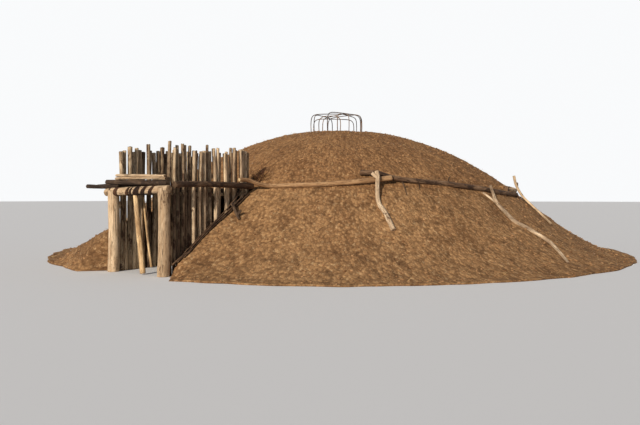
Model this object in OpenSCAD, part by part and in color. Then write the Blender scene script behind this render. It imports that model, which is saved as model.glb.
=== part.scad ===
// A round earth lodge: a timber frame under thatch and earth, with a pole-walled entrance passage.
// Millimetres. The origin is on the ground under the smoke hole, and the doorway faces -Y.
// An angle called phi is counted from the doorway (-Y) towards +X.

/* [Mound] */
// Radius of the mound where it meets the ground
mound_radius = 9200; // [9100:20:9400]
// Height of the crown above the ground
mound_height = 3960; // [3940:5:3980]
// How far the shoulder of the mound lies below its cosine profile
shoulder_drop = 100; // [60:10:110]
// How long the side of the mound stays steep, as the power of its cosine profile
mound_bulge = 1.45; // [1.4:0.01:1.5]
// Height of the sod edge where the mound meets the ground
toe_height = 40; // [30:5:60]

/* [Wall] */
// Height at which the wall stops and the roof starts
wall_height = 2000; // [1980:5:2020]
// Radius of the foot of the leaning wall planks
plank_foot_radius = 5720; // [5700:10:5740]
// Thickness of a wall plank, measured level
plank_thickness = 65; // [50:5:70]
// Width of a wall plank
plank_width = 250; // [200:10:255]
// Number of places for planks round the wall
plank_count = 120; // [90:2:120]
// Thickness of the thatch behind the planks, measured level at the foot
wall_thatch = 140; // [120:10:160]

/* [Frame] */
// Radius of the ring of outer posts
outer_ring_radius = 5000; // [4980:10:5000]
// Number of outer posts
outer_post_count = 12;
// Height of an outer post
outer_post_height = 1850; // [1840:5:1855]
// Radius of an outer post
outer_post_radius = 100; // [90:5:110]
// Radius of a log between two outer posts
stringer_radius = 90; // [80:5:95]
// Distance of the four central posts from the middle, along X and along Y
central_offset = 1500; // [1450:10:1550]
// Radius of a central post
central_post_radius = 150; // [140:5:170]
// Radius of a beam on the central posts
beam_radius = 125; // [110:5:130]
// Height of the top of the central beams
beam_top = 3050; // [3030:5:3060]
// Number of rafters
rafter_count = 72;
// Radius of a rafter
rafter_radius = 50; // [40:2:52]

/* [Smoke hole] */
// Radius of the edge of the earth round the smoke hole
hole_radius = 800; // [800:5:820]
// Radius at the middle of the logs round the smoke hole
crib_radius = 700; // [690:5:700]
// Radius of a log round the smoke hole
crib_log_radius = 45; // [40:5:45]
// Number of layers of logs round the smoke hole
crib_layers = 3; // [2:1:3]
// Radius of the ring on which the hoops of the cage stand
cage_radius = 870; // [870:5:880]
// Height of the cage above the crown
cage_height = 690; // [600:10:720]
// Radius of a hoop rod
hoop_radius = 14; // [12:1:18]

/* [Entrance] */
// Distance from the middle line of the passage to the middle of each side wall
passage_half_width = 870; // [860:5:880]
// Distance of the doorway from the middle of the lodge
doorway_distance = 8550; // [8530:10:8570]
// Radius of a door post
door_post_radius = 135; // [125:5:140]
// Height of the left door post
left_post_height = 1935; // [1920:5:1950]
// Height of the right door post
right_post_height = 1975; // [1960:5:1990]
// Radius of the lintel
lintel_radius = 90; // [85:5:90]
// Height of the middle of the lintel at its left end
lintel_height = 1885; // [1880:5:1890]
// How much higher its right end lies
lintel_rise = 60; // [40:5:70]
// Number of tall poles in each side wall of the passage
tall_pole_count = 24;
// Radius of a side wall pole at its foot
wall_pole_radius = 52; // [44:2:52]
// Radius of a roof pole of the passage
roof_pole_radius = 48; // [40:2:48]
// Number of roof poles of the passage
roof_pole_count = 24; // [20:1:26]

/* [Rails] */
// Radius of the thick end of the logs round the back of the mound
ring_rail_radius = 65; // [60:5:65]
// Radius of the foot of a leaning prop pole
prop_radius = 60; // [50:2:60]

/* [Hidden] */

earth_colour = [0.55, 0.41, 0.26];
dry_earth_colour = [0.58, 0.44, 0.29];
thatch_colour = [0.62, 0.54, 0.36];
pale_wood = [0.71, 0.59, 0.45];
grey_wood = [0.50, 0.42, 0.33];
dark_wood = [0.27, 0.21, 0.16];

quarter = 90;
round_steps = 256;
profile_steps = 16;
bank_foot_radius = plank_foot_radius + plank_thickness + 5 + wall_thatch;
bank_top_radius = 5270;
// Some wall poles of the passage stand out from the row by as much as this
stand_out = 50;
// The earth on both sides of the passage stops at the outside of its pole walls
passage_cut = passage_half_width + wall_pole_radius + stand_out + 15;
// and widens in front of the door posts, along a line through a corner of the mound's edge
flare_start = doorway_distance - door_post_radius;
flare_corner = 7;
flare_angle = flare_corner * 360 / round_steps;
// The cut starts inside the wall planks and runs on past the mound's edge by this factor
passage_inner_end = 4900;
flare_reach = 1.3;
corner_post_angle = 15;
octagon_angle = 22.5;

// The shoulder drop fades to nothing at the smoke hole and at this distance
shoulder_foot = 5700;
function shoulder_share(r) = min(max((r - hole_radius) / (shoulder_foot - hole_radius), 0), 1);

// Height of the mound's surface at a distance r from the middle
function surface_z(r) = toe_height + (mound_height - toe_height)
    * (1 + cos(180 * pow(min(r, mound_radius) / mound_radius, mound_bulge))) / 2
    - shoulder_drop * pow(sin(180 * shoulder_share(r)), 2);

// Distance, past the shoulder, at which the surface is as high as z
function surface_r(z) = mound_radius
    * pow(acos(2 * (z - toe_height) / (mound_height - toe_height) - 1) / 180, 1 / mound_bulge);

eave_radius = surface_r(wall_height);

// A point at the angle phi and distance r, and its place on the surface with some lift
function polar(phi, r, z) = [r * sin(phi), -r * cos(phi), z];
function on_mound(phi, r, lift) = polar(phi, r, surface_z(r) + lift);

// Distance of the outer stringers and of the central beams from the middle, in the direction phi
function stringer_distance(phi) = outer_ring_radius * cos(corner_post_angle)
    / cos(phi - 2 * corner_post_angle * round(phi / (2 * corner_post_angle)));
function beam_distance(phi) = central_offset / max(abs(cos(phi)), abs(sin(phi)));

// A rafter lies on a stringer and on a central beam
stringer_top = outer_post_height + 2 * stringer_radius;
function rafter_slope(phi) = (beam_top - stringer_top) / (stringer_distance(phi) - beam_distance(phi));
function rafter_half_depth(phi) = rafter_radius * sqrt(1 + pow(rafter_slope(phi), 2));
function rafter_axis_z(phi, r) = stringer_top + rafter_half_depth(phi)
    + rafter_slope(phi) * (stringer_distance(phi) - r);
function rafter_top_z(phi, r) = rafter_axis_z(phi, r) + rafter_half_depth(phi);

// A straight round log between two points
module straight_log(a, b, r_a, r_b) {
    d = b - a;
    length = norm(d);
    translate(a)
        rotate([0, acos(d[2] / length), atan2(d[1], d[0])])
            cylinder(h = length, r1 = r_a, r2 = r_b, $fn = 24);
}

function unit(v) = v / norm(v);
function tangent(path, i) = unit(path[min(i + 1, len(path) - 1)] - path[max(i - 1, 0)]);

// A crooked log: a ring of corners round each point of its path, in a polyhedron.
// No stretch of the path runs along the direction named beside, and swell thickens the middle.
module bent_log(path, r_start, r_end, sides = 8, beside = [0, 0, 1], swell = 0) {
    last = len(path) - 1;
    points = [
        for (i = [0:last])
            let (
                t = tangent(path, i),
                u = unit(cross(t, beside)),
                v = cross(t, u),
                r = r_start + (r_end - r_start) * i / last + swell * sin(180 * i / last)
            )
            for (k = [0:sides - 1])
                path[i] + r * (cos(360 * k / sides) * u + sin(360 * k / sides) * v)
    ];
    ends = [
        [for (k = [0:sides - 1]) k],
        [for (k = [sides - 1:-1:0]) last * sides + k]
    ];
    sides_faces = [
        for (i = [0:last - 1])
            for (k = [0:sides - 1])
                let (n = (k + 1) % sides)
                [i * sides + k, (i + 1) * sides + k, (i + 1) * sides + n, i * sides + n]
    ];
    polyhedron(points = points, faces = concat(ends, sides_faces));
}

// The space of the entrance passage and of the flare in front of it, cut out of what lies round it
module passage_space() {
    inner = [passage_cut, -flare_start];
    outer = inner + flare_reach * (mound_radius * [sin(flare_angle), -cos(flare_angle)] - inner);
    translate([-passage_cut, outer[1], -10])
        cube([2 * passage_cut, -outer[1] - passage_inner_end, 2 * wall_height]);
    translate([0, 0, -10])
        linear_extrude(wall_height)
            polygon([[-inner[0], inner[1]], [-outer[0], outer[1]], outer, inner]);
}

// A profile in the plane of radius and height, turned from the angle phi_a to phi_b
module earth_sector(phi_a, phi_b, profile) {
    rotate([0, 0, phi_a - 90])
        rotate_extrude(angle = phi_b - phi_a, $fn = round_steps)
            polygon(profile);
}

bank_profile = concat(
    [[bank_foot_radius, 0], [bank_top_radius, wall_height]],
    [
        for (k = [0:profile_steps])
            let (r = eave_radius + (mound_radius - eave_radius) * k / profile_steps)
            [r, surface_z(r)]
    ],
    [[mound_radius, 0]]
);

// Earth thrown up along the passage: y and height above the mound of each section of the ridge
ridge_rows = [
    [-8600, 20], [-8250, 110], [-7900, 180], [-7600, 240], [-7300, 270],
    [-7000, 250], [-6700, 200], [-6400, 150], [-6100, 110], [-5800, 60]
];
ridge_crest_x = 1100;
ridge_foot_x = 1650;
// The foot of the ridge dips under the mound by this much
ridge_dip = 15;

// A ridge beside the passage, on the side where x has the sign of side
module earth_ridge(side) {
    last = len(ridge_rows) - 1;
    corners = 5;
    points = [
        for (row = ridge_rows)
            let (
                crest_z = surface_z(norm([ridge_crest_x, row[0]])) + row[1],
                foot_z = surface_z(norm([ridge_foot_x, row[0]])) - ridge_dip
            )
            each [
                [passage_half_width, row[0], 0],
                [passage_half_width, row[0], crest_z],
                [ridge_crest_x, row[0], crest_z],
                [ridge_foot_x, row[0], foot_z],
                [ridge_foot_x, row[0], 0]
            ]
    ];
    sides_faces = [
        for (i = [0:last - 1], k = [0:corners - 1])
            let (a = i * corners, b = a + corners, n = (k + 1) % corners)
            each [[a + k, b + k, b + n], [a + k, b + n, a + n]]
    ];
    ends = [
        [for (k = [0:corners - 1]) k],
        [for (k = [corners - 1:-1:0]) last * corners + k]
    ];
    mirror([side > 0 ? 0 : 1, 0, 0])
        polyhedron(points = points, faces = concat(ends, sides_faces));
}

// On the left the earth stands higher: a bank falls from the passage wall to the front and the left.
// These are its corners, the upper ones first.
left_bank_points = [
    [-900, -8400, 1150], [-1900, -8300, 850], [-2700, -8100, 620], [-3500, -7700, 400],
    [-900, -7200, 1480], [-2600, -7000, 1000], [-900, -6200, 1550], [-3300, -5700, 1050],
    [-900, -8460, 0], [-1550, -9030, 0], [-2600, -8800, 0], [-3900, -8300, 0],
    [-900, -6200, 0], [-3300, -5700, 0], [-4100, -7000, 0]
];

module left_bank() {
    hull()
        polyhedron(points = left_bank_points, faces = [[for (k = [0:len(left_bank_points) - 1]) k]]);
}

module earth_bank(i) {
    color(earth_colour)
        if (i == 1 || i == 4)
            difference() {
                union() {
                    earth_sector(quarter * (i - 1), quarter * i, bank_profile);
                    earth_ridge(i == 1 ? 1 : -1);
                    if (i == 4) left_bank();
                }
                passage_space();
            }
        else
            earth_sector(quarter * (i - 1), quarter * i, bank_profile);
}

// The thatch under the roof earth: its upper side is turned round the middle
thatch_edge = [bank_top_radius, 2130];
thatch_middle = [3200, 3000];
thatch_crown = [hole_radius, 3690];

roof_profile = concat(
    [[eave_radius, wall_height], [bank_top_radius, wall_height]],
    [thatch_edge, thatch_middle, thatch_crown],
    [
        for (k = [0:profile_steps])
            let (r = hole_radius + (eave_radius - hole_radius) * k / profile_steps)
            if (k < profile_steps) [r, surface_z(r)]
    ]
);

module earth_roof(i) {
    color(dry_earth_colour)
        earth_sector(quarter * (i - 1), quarter * i, roof_profile);
}

module thatch_wall() {
    plank_lean = plank_foot_radius - outer_ring_radius - stringer_radius;
    inner_foot = plank_foot_radius + plank_thickness + 10;
    color(thatch_colour)
        difference() {
            rotate_extrude($fn = round_steps)
                polygon([
                    [inner_foot, 0],
                    [bank_foot_radius, 0],
                    [bank_top_radius, wall_height],
                    [inner_foot - plank_lean, wall_height]
                ]);
            passage_space();
        }
}

// The underside of the roof thatch lies on the rafters, so it follows their slopes
module thatch_roof() {
    steps = rafter_count;
    rows = 6;
    under_z = function (phi, r) max(wall_height, rafter_top_z(phi, r));
    points = [
        for (k = [0:steps - 1])
            let (phi = 360 * k / steps)
            each [
                polar(phi, thatch_edge[0], under_z(phi, thatch_edge[0])),
                polar(phi, beam_distance(phi), under_z(phi, beam_distance(phi))),
                polar(phi, hole_radius, under_z(phi, hole_radius)),
                polar(phi, thatch_crown[0], thatch_crown[1]),
                polar(phi, thatch_middle[0], thatch_middle[1]),
                polar(phi, thatch_edge[0], thatch_edge[1])
            ]
    ];
    faces = [
        for (k = [0:steps - 1])
            for (j = [0:rows - 1])
                let (a = k * rows, b = (k + 1) % steps * rows, n = (j + 1) % rows)
                each [[a + j, b + j, b + n], [a + j, b + n, a + n]]
    ];
    color(thatch_colour)
        polyhedron(points = points, faces = faces);
}

// Planks lean against the stringers, side by side, from one side of the passage to the other
module wall_planks() {
    contact_z = outer_post_height + stringer_radius;
    plank_height = wall_height - 50;
    clear_angle = asin((passage_half_width + wall_pole_radius + plank_width / 2 + 60) / plank_foot_radius);
    color(grey_wood)
        for (k = [0:plank_count - 1]) {
            phi = 360 * (k + 0.5) / plank_count;
            if (phi > clear_angle && phi < 360 - clear_angle) {
                contact_r = stringer_distance(phi) + 1.07 * stringer_radius;
                top_r = plank_foot_radius - (plank_foot_radius - contact_r) * plank_height / contact_z;
                rotate([0, 0, phi - 90])
                    rotate([90, 0, 0])
                        linear_extrude(plank_width, center = true)
                            polygon([
                                [plank_foot_radius, 0],
                                [plank_foot_radius + plank_thickness, 0],
                                [top_r + plank_thickness, plank_height],
                                [top_r, plank_height]
                            ]);
            }
        }
}

beam_axis_z = beam_top - beam_radius;
beam_half_length = central_offset + 350;

module beam_pair(radius) {
    for (s = [-1, 1])
        translate([-beam_half_length, s * central_offset, beam_axis_z])
            rotate([0, 90, 0])
                cylinder(h = 2 * beam_half_length, r = radius, $fn = 32);
}

module central_posts() {
    color(grey_wood)
        difference() {
            for (x = [-1, 1], y = [-1, 1])
                translate([x * central_offset, y * central_offset, 0])
                    cylinder(h = beam_axis_z - beam_radius + 60, r = central_post_radius, $fn = 32);
            beam_pair(beam_radius + 1);
            rotate([0, 0, 90]) beam_pair(beam_radius + 1);
        }
}

// Where two beams cross, each gives up half of its depth
module crossing_halves(z) {
    side = 2 * beam_radius + 4;
    for (x = [-1, 1], y = [-1, 1])
        translate([x * central_offset - side / 2, y * central_offset - side / 2, z])
            cube([side, side, beam_radius + 10]);
}

module central_beams_x() {
    color(grey_wood)
        difference() {
            beam_pair(beam_radius);
            crossing_halves(beam_axis_z);
        }
}

module central_beams_y() {
    color(grey_wood)
        difference() {
            rotate([0, 0, 90]) beam_pair(beam_radius);
            crossing_halves(beam_axis_z - beam_radius - 10);
        }
}

module outer_posts() {
    color(grey_wood)
        for (k = [0:outer_post_count - 1])
            rotate([0, 0, corner_post_angle + 360 * k / outer_post_count])
                translate([0, -outer_ring_radius, 0])
                    cylinder(h = outer_post_height, r = outer_post_radius, $fn = 24);
}

module outer_stringers() {
    joint_gap = stringer_radius * tan(corner_post_angle) + 3;
    length = 2 * (outer_ring_radius * sin(corner_post_angle) - joint_gap);
    color(grey_wood)
        for (k = [0:outer_post_count - 1])
            rotate([0, 0, 360 * k / outer_post_count])
                translate([-length / 2, -stringer_distance(0), outer_post_height + stringer_radius])
                    rotate([0, 90, 0])
                        cylinder(h = length, r = stringer_radius, $fn = 24);
}

module rafter(phi, inner_r) {
    outer_r = stringer_distance(phi) + 90;
    straight_log(
        polar(phi, outer_r, rafter_axis_z(phi, outer_r)),
        polar(phi, inner_r, rafter_axis_z(phi, inner_r)),
        rafter_radius,
        rafter_radius
    );
}

// Every third rafter runs in to the smoke hole
module rafters_long() {
    color(grey_wood)
        for (k = [0:3:rafter_count - 1])
            rafter(360 * k / rafter_count, crib_radius - crib_log_radius);
}

// and the others stop just inside the central beams
module rafters_short() {
    color(grey_wood)
        for (k = [0:rafter_count - 1])
            if (k % 3 != 0)
                let (phi = 360 * k / rafter_count)
                rafter(phi, beam_distance(phi) - 200);
}

crib_pitch = 2 * crib_log_radius + 2;

// Eight logs a layer round the smoke hole, the second layer turned to bridge the joints
module smokehole_crib() {
    base_z = rafter_top_z(45, crib_radius) + 0.07 * crib_log_radius;
    half = crib_radius * tan(octagon_angle) - crib_log_radius * tan(octagon_angle) - 2;
    color(dark_wood)
        for (layer = [0:crib_layers - 1], k = [0:7])
            rotate([0, 0, 45 * k + (layer % 2) * octagon_angle])
                translate([-half, -crib_radius, base_z + crib_log_radius + layer * crib_pitch])
                    rotate([0, 90, 0])
                        cylinder(h = 2 * half, r = crib_log_radius, $fn = 16);
}

// A bent rod over the smoke hole, with its feet on the rim at the angles phi_a and phi_b
module hoop(phi_a, phi_b, height) {
    half_angle = (phi_b - phi_a) / 2;
    reach = cage_radius * sin(half_angle);
    y = -cage_radius * cos(half_angle);
    foot_z = surface_z(cage_radius) + 5;
    bend = min(120, 0.3 * reach);
    path = [
        [-reach, y, foot_z],
        [-reach - 10, y, foot_z + 0.45 * height],
        [-reach + 0.12 * bend, y, foot_z + 0.78 * height],
        [-reach + bend, y, foot_z + 0.95 * height],
        [-0.45 * reach, y, foot_z + height],
        [0.45 * reach, y, foot_z + height],
        [reach - bend, y, foot_z + 0.95 * height],
        [reach - 0.12 * bend, y, foot_z + 0.78 * height],
        [reach + 10, y, foot_z + 0.45 * height],
        [reach, y, foot_z]
    ];
    translate(cage_shift)
        rotate([0, 0, (phi_a + phi_b) / 2])
            bent_log(path, hoop_radius, hoop_radius, sides = 6, beside = [0, 1, 0]);
}

// The cage stands a little off the middle of the hole
cage_shift = [-45, -30, 0];
// Angles of the two feet of each hoop, and its share of the cage's height
hoops = [
    [-52, 128, 0.98], [-9, 41, 0.74], [-113, 61, 0.9], [35, 159, 0.88],
    [-137, -27, 0.9], [13, 141, 0.96], [-191, -82, 0.82], [-127, 105, 0.93]
];

module smokehole_cage() {
    color(dark_wood)
        for (h = hoops)
            hoop(h[0], h[1], h[2] * cage_height);
}

lintel_start = [-1120, -doorway_distance, lintel_height];
lintel_end = [1060, -doorway_distance, lintel_height + lintel_rise];
lintel_tilt = atan2(lintel_rise, lintel_end[0] - lintel_start[0]);

module lintel() {
    color(pale_wood)
        straight_log(lintel_start, lintel_end, lintel_radius, lintel_radius);
}

// The channel for the lintel in the top of a door post, round below and open above
module lintel_channel() {
    fit_radius = lintel_radius + 1;
    straight_log(lintel_start, lintel_end, fit_radius, fit_radius);
    translate(lintel_start)
        rotate([0, -lintel_tilt, 0])
            translate([0, -fit_radius, 0])
                cube([lintel_end[0] - lintel_start[0], 2 * fit_radius, 300]);
}

// A door post ends in a notch that holds the lintel
module door_post(side, height) {
    color(pale_wood)
        difference() {
            translate([side * passage_half_width, -doorway_distance, 0])
                cylinder(h = height, r = door_post_radius, $fn = 32);
            lintel_channel();
        }
}

module front_log_dark() {
    color(dark_wood)
        straight_log([-1120, -doorway_distance, 2134], [1000, -doorway_distance, 2089], 55, 55);
}

// A split log on the dark one
module front_log_pale() {
    color(pale_wood)
        straight_log([-745, -doorway_distance, 2247], [975, -doorway_distance, 2212], 65, 65);
}

// Two thin poles across the front: one on the roof poles, one on the left end of the lintel
module front_poles() {
    color(dark_wood) {
        straight_log([-1660, -8410, 2044], [750, -8410, 2040], 40, 45);
        straight_log([-1900, -8530, 2040], [-720, -8530, 2029], 52, 42);
    }
}

right_wall_start = -8360;
left_wall_start = -8310;
wall_stop = -5700;
short_pole_count = 5;
short_pole_height = 1840;

// Heights of the tall poles, from the doorway inwards
right_heights = [
    3030, 2890, 2950, 2990, 2970, 2960, 2850, 2865, 2850, 2870, 3020, 2875,
    2955, 2970, 2860, 2850, 2900, 3000, 3010, 2960, 2980, 2995, 2950, 2920
];
left_heights = [
    2870, 2900, 3000, 2880, 2980, 2940, 2900, 3100, 2950, 2900, 2950, 3050,
    2890, 2970, 2930, 3010, 2880, 2940, 2900, 3000, 2930, 2870, 2980, 2900
];
// Numbers of the poles whose feet stand out from the row
proud_poles = [6, 8, 9, 12, 13, 15, 16, 18, 20, 22];
// How far the top of each pole leans out from the passage
leans = [10, 40, -20, 30, 0, 35, 45, -10, 55, 40, 15, -15];

module passage_wall(side, start, heights) {
    pitch = (wall_stop - start) / (tall_pole_count - 1);
    for (k = [0:tall_pole_count - 1]) {
        y = start + k * pitch;
        slim = k % 3 == 1 ? 6 : 0;
        proud = len(search(k, proud_poles)) > 0 ? stand_out - 5 * (k % 2) : 0;
        x_top = side * (passage_half_width + leans[k % len(leans)]);
        sway = (k % 4 - 1.5) * 5;
        straight_log(
            [side * (passage_half_width + proud), y, 0],
            [x_top, y + sway, heights[k]],
            wall_pole_radius - slim,
            wall_pole_radius - slim - 8
        );
    }
    for (k = [1:short_pole_count])
        translate([side * passage_half_width, wall_stop + k * pitch, 0])
            cylinder(h = short_pole_height, r = wall_pole_radius - 4, $fn = 24);
}

module passage_wall_left() {
    color(grey_wood)
        passage_wall(-1, left_wall_start, left_heights);
}

module passage_wall_right() {
    color(grey_wood)
        passage_wall(1, right_wall_start, right_heights);
}

ledger_radius = 40;
ledger_x = passage_half_width - wall_pole_radius - ledger_radius;
roof_pole_z = wall_height - 4 - roof_pole_radius;
ledger_z = roof_pole_z - roof_pole_radius - ledger_radius;

// Two long poles inside the walls carry the roof poles
module passage_ledgers() {
    color(grey_wood)
        for (side = [-1, 1])
            straight_log(
                [side * ledger_x, -8395, ledger_z],
                [side * ledger_x, -5080, ledger_z],
                ledger_radius,
                ledger_radius
            );
}

module passage_roof_poles() {
    inner_end = ledger_x + ledger_radius - 4;
    start_y = -8372;
    pitch = (start_y + 5130) / (roof_pole_count - 1);
    color(dark_wood)
        for (k = [0:roof_pole_count - 1])
            straight_log(
                [-inner_end, start_y - k * pitch, roof_pole_z],
                [inner_end, start_y - k * pitch, roof_pole_z],
                roof_pole_radius - (k % 3) * 2,
                roof_pole_radius - ((k + 1) % 3) * 2
            );
}

// The long logs along the outside of the passage walls, lashed to them
rail_lead = passage_half_width + wall_pole_radius + stand_out + 5;

module passage_rail_left() {
    x = -rail_lead - 60;
    color(dark_wood)
        bent_log(
            [[x, -8340, 2000], [x + 5, -7600, 2005], [x, -6700, 2010], [x - 5, -5780, 2020]],
            48, 56
        );
}

module passage_rail_right() {
    x = rail_lead + 78;
    color(dark_wood)
        bent_log(
            [
                [x, -8390, 2050], [x, -7900, 2068], [x + 5, -7300, 2078],
                [x, -6700, 2072], [x, -6200, 2062], [x + 5, -5760, 2052]
            ],
            70, 76
        );
}

// Two poles stand askew in the doorway and in the passage
module leaning_poles() {
    color(pale_wood) {
        straight_log([195, -8560, 30], [-90, -8530, 1815], 58, 52);
        straight_log([-745, -7510, 20], [-745, -7760, 1780], 28, 24);
    }
}

// Paths on the mound, from the doorway round towards +X: angle, distance and lift of each point
ring_paths = [
    [
        [9.9, 6395, 752], [10.6, 6225, 626], [11.25, 6100, 500], [12.2, 5975, 346],
        [13.35, 5865, 217], [15, 5745, 94], [20, 5690, 58], [28, 5690, 82],
        [36, 5690, 142], [41, 5700, 195], [46.5, 5700, 255]
    ],
    [
        [38.8, 5350, 135], [43, 5450, 200], [47, 5560, 165], [52, 5590, 115], [58, 5600, 80],
        [64, 5645, 72], [70, 5730, 72], [76, 5810, 72], [83, 5915, 72], [93.5, 6000, 75]
    ],
    [
        [91, 5790, 75], [99, 5840, 75], [108, 5780, 70], [118, 5690, 72],
        [128, 5700, 90], [139, 5690, 70], [150, 5720, 75]
    ],
    [[145, 5560, 75], [154, 5680, 75], [166, 5700, 85], [178, 5690, 70], [190, 5690, 80], [200, 5720, 75]],
    [[195, 5560, 75], [205, 5680, 75], [217, 5690, 90], [229, 5700, 70], [240, 5690, 80], [250, 5720, 75]],
    [[245, 5560, 75], [255, 5680, 80], [267, 5700, 70], [279, 5690, 85], [290, 5690, 70], [300, 5720, 75]],
    [[295, 5560, 75], [305, 5680, 80], [316, 5690, 75], [328, 5700, 90], [339, 5690, 110], [348.5, 5760, 230]]
];
// Radii at the two ends of each of these logs: the first lies with its thin end at the passage
back_radii = [ring_rail_radius, ring_rail_radius - 12];
ring_radii = [[50, 67], [66, 70], back_radii, back_radii, back_radii, back_radii, back_radii];

function mound_path(rows) = [for (p = rows) on_mound(p[0], p[1], p[2])];

module ring_rail(i) {
    radii = ring_radii[i - 1];
    color(i % 2 == 1 ? pale_wood : grey_wood)
        bent_log(mound_path(ring_paths[i - 1]), radii[0], radii[1]);
}

// A forked stick: a crooked pole with a short arm near its top
module forked_prop(rows, arm, r_foot, r_top, swell = 0) {
    across = polar(rows[0][0] + 90, 1, 0);
    bent_log(mound_path(rows), r_foot, r_top, beside = across, swell = swell);
    bent_log(mound_path(arm), r_top - 4, r_top - 12, sides = 6, beside = across);
}

prop_top_radius = 0.9 * prop_radius;

module prop_front() {
    color(pale_wood)
        forked_prop(
            [
                [43.3, 7010, 20], [42.7, 6560, 60], [41.8, 6250, 70],
                [42.1, 5960, 220], [42.5, 5850, 390], [42.2, 5820, 525]
            ],
            [[42.5, 5850, 370], [41.5, 5840, 440], [41, 5835, 480]],
            prop_radius,
            prop_top_radius
        );
}

// The long prop is thick in the middle and thin at both ends
module prop_right_long() {
    color(pale_wood)
        forked_prop(
            [
                [73.4, 8420, 20], [75.9, 8020, 40], [77.8, 7600, 50], [76.6, 7135, 50],
                [74.7, 6870, 50], [75, 6590, 50], [75.6, 6240, 60], [77.6, 5990, 130], [76.8, 5960, 300]
            ],
            [[75.5, 6270, 50], [75, 6030, 45], [74.5, 5890, 45]],
            26,
            32,
            18
        );
}

module prop_right_far() {
    color(grey_wood)
        forked_prop(
            [
                [93, 7000, 20], [94.6, 6740, 45], [96, 6400, 80],
                [95.6, 6150, 140], [95.2, 5970, 320], [95, 5900, 560]
            ],
            [[95.3, 5985, 300], [96.8, 5960, 400]],
            28,
            38
        );
}

// A short stick leans on the poles beside the passage
module prop_passage() {
    color(dark_wood)
        forked_prop(
            [[12, 6795, 95], [11, 6730, 185], [9.5, 6640, 350]],
            [[11.3, 6745, 150], [11.9, 6690, 230]],
            24,
            34
        );
}

module props_back() {
    color(pale_wood)
        for (phi = [148, 173, 198, 223, 248, 273, 298, 323])
            forked_prop(
                [
                    [phi - 1, 6980, 20], [phi + 0.6, 6520, 60], [phi - 0.6, 6150, 80],
                    [phi, 5890, 240], [phi + 0.5, 5830, 480]
                ],
                [[phi, 5880, 260], [phi - 1.5, 5850, 420]],
                prop_radius,
                prop_top_radius
            );
}

// Thin poles lie on the ridges along the side walls of the passage, one on another.
// Each row has a pole's distance from the middle line, its radius, y of its two ends,
// how high it lies above the ridge, and how much higher its inner end.
slope_pole_rows = [
    [1014, 22, -8420, -6120, 24, 210],
    [1060, 22, -8300, -6000, 24, 90],
    [1102, 20, -8150, -5900, 24, 0],
    [1036, 18, -8050, -6200, 64, 150],
    [1080, 18, -7900, -6050, 60, 60]
];

module slope_poles(side) {
    steps = 8;
    for (row = slope_pole_rows)
        bent_log(
            [
                for (k = [0:steps])
                    let (
                        y = row[2] + (row[3] - row[2]) * k / steps,
                        rise = row[4] + row[5] * pow(max(2 * k / steps - 1, 0), 2)
                    )
                    [side * row[0], y, surface_z(norm([row[0], y])) + lookup(y, ridge_rows) + rise]
            ],
            row[1],
            row[1] - 4,
            sides = 6
        );
}

module slope_poles_right() {
    color(dark_wood)
        slope_poles(1);
}

module slope_poles_left() {
    color(dark_wood)
        slope_poles(-1);
}

for (i = [1:4]) earth_bank(i);
for (i = [1:4]) earth_roof(i);
thatch_wall();
thatch_roof();
wall_planks();
central_posts();
central_beams_x();
central_beams_y();
outer_posts();
outer_stringers();
rafters_long();
rafters_short();
smokehole_crib();
smokehole_cage();
door_post(-1, left_post_height);  // door_post_left
door_post(1, right_post_height);  // door_post_right
lintel();
front_log_dark();
front_log_pale();
front_poles();
passage_wall_left();
passage_wall_right();
passage_ledgers();
passage_roof_poles();
passage_rail_left();
passage_rail_right();
leaning_poles();
for (i = [1:7]) ring_rail(i);
prop_front();
prop_right_long();
prop_right_far();
prop_passage();
props_back();
slope_poles_right();
slope_poles_left();
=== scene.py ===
import itertools
import math

import bpy
import numpy as np
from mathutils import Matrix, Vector
from mathutils.geometry import tessellate_polygon


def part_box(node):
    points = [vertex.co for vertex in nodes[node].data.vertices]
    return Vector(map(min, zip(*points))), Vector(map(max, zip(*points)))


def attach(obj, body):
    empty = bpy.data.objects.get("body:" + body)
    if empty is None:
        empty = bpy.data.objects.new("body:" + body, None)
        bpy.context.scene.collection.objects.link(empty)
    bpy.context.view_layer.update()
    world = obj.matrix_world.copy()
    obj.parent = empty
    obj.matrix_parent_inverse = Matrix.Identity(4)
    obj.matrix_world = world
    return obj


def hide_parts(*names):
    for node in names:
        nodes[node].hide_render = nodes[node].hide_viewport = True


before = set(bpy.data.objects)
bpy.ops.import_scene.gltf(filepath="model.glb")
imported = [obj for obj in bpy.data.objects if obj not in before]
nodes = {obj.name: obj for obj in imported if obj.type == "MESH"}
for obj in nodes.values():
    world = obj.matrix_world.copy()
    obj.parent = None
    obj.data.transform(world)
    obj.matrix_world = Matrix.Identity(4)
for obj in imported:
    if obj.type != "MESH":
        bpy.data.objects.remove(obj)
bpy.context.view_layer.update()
print("frame loaded,", len(nodes), "nodes")


# Noise that gives the same values each run

shuffled = np.random.RandomState(23).permutation(256)
slopes = np.random.RandomState(24).normal(size=(256, 3))
slopes /= np.linalg.norm(slopes, axis=1, keepdims=True)
clumpCentres = np.random.RandomState(25).uniform(0.1, 0.9, size=(256, 3))


def cellNumber(cell):
    cell = cell & 255
    return shuffled[(shuffled[(shuffled[cell[:, 0]] + cell[:, 1]) & 255] + cell[:, 2]) & 255]


def softNoise(points):
    # smooth bumps about one unit apart, from about -1 to 1
    cell = np.floor(points).astype(np.int64)
    local = points - cell
    fade = local ** 3 * (local * (local * 6 - 15) + 10)
    total = np.zeros(len(points))
    for corner in itertools.product((0, 1), repeat=3):
        near = np.array(corner)
        weight = np.prod(np.where(near == 1, fade, 1 - fade), axis=1)
        total += weight * np.einsum("ij,ij->i", slopes[cellNumber(cell + near)], local - near)
    return total * 1.6


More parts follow.
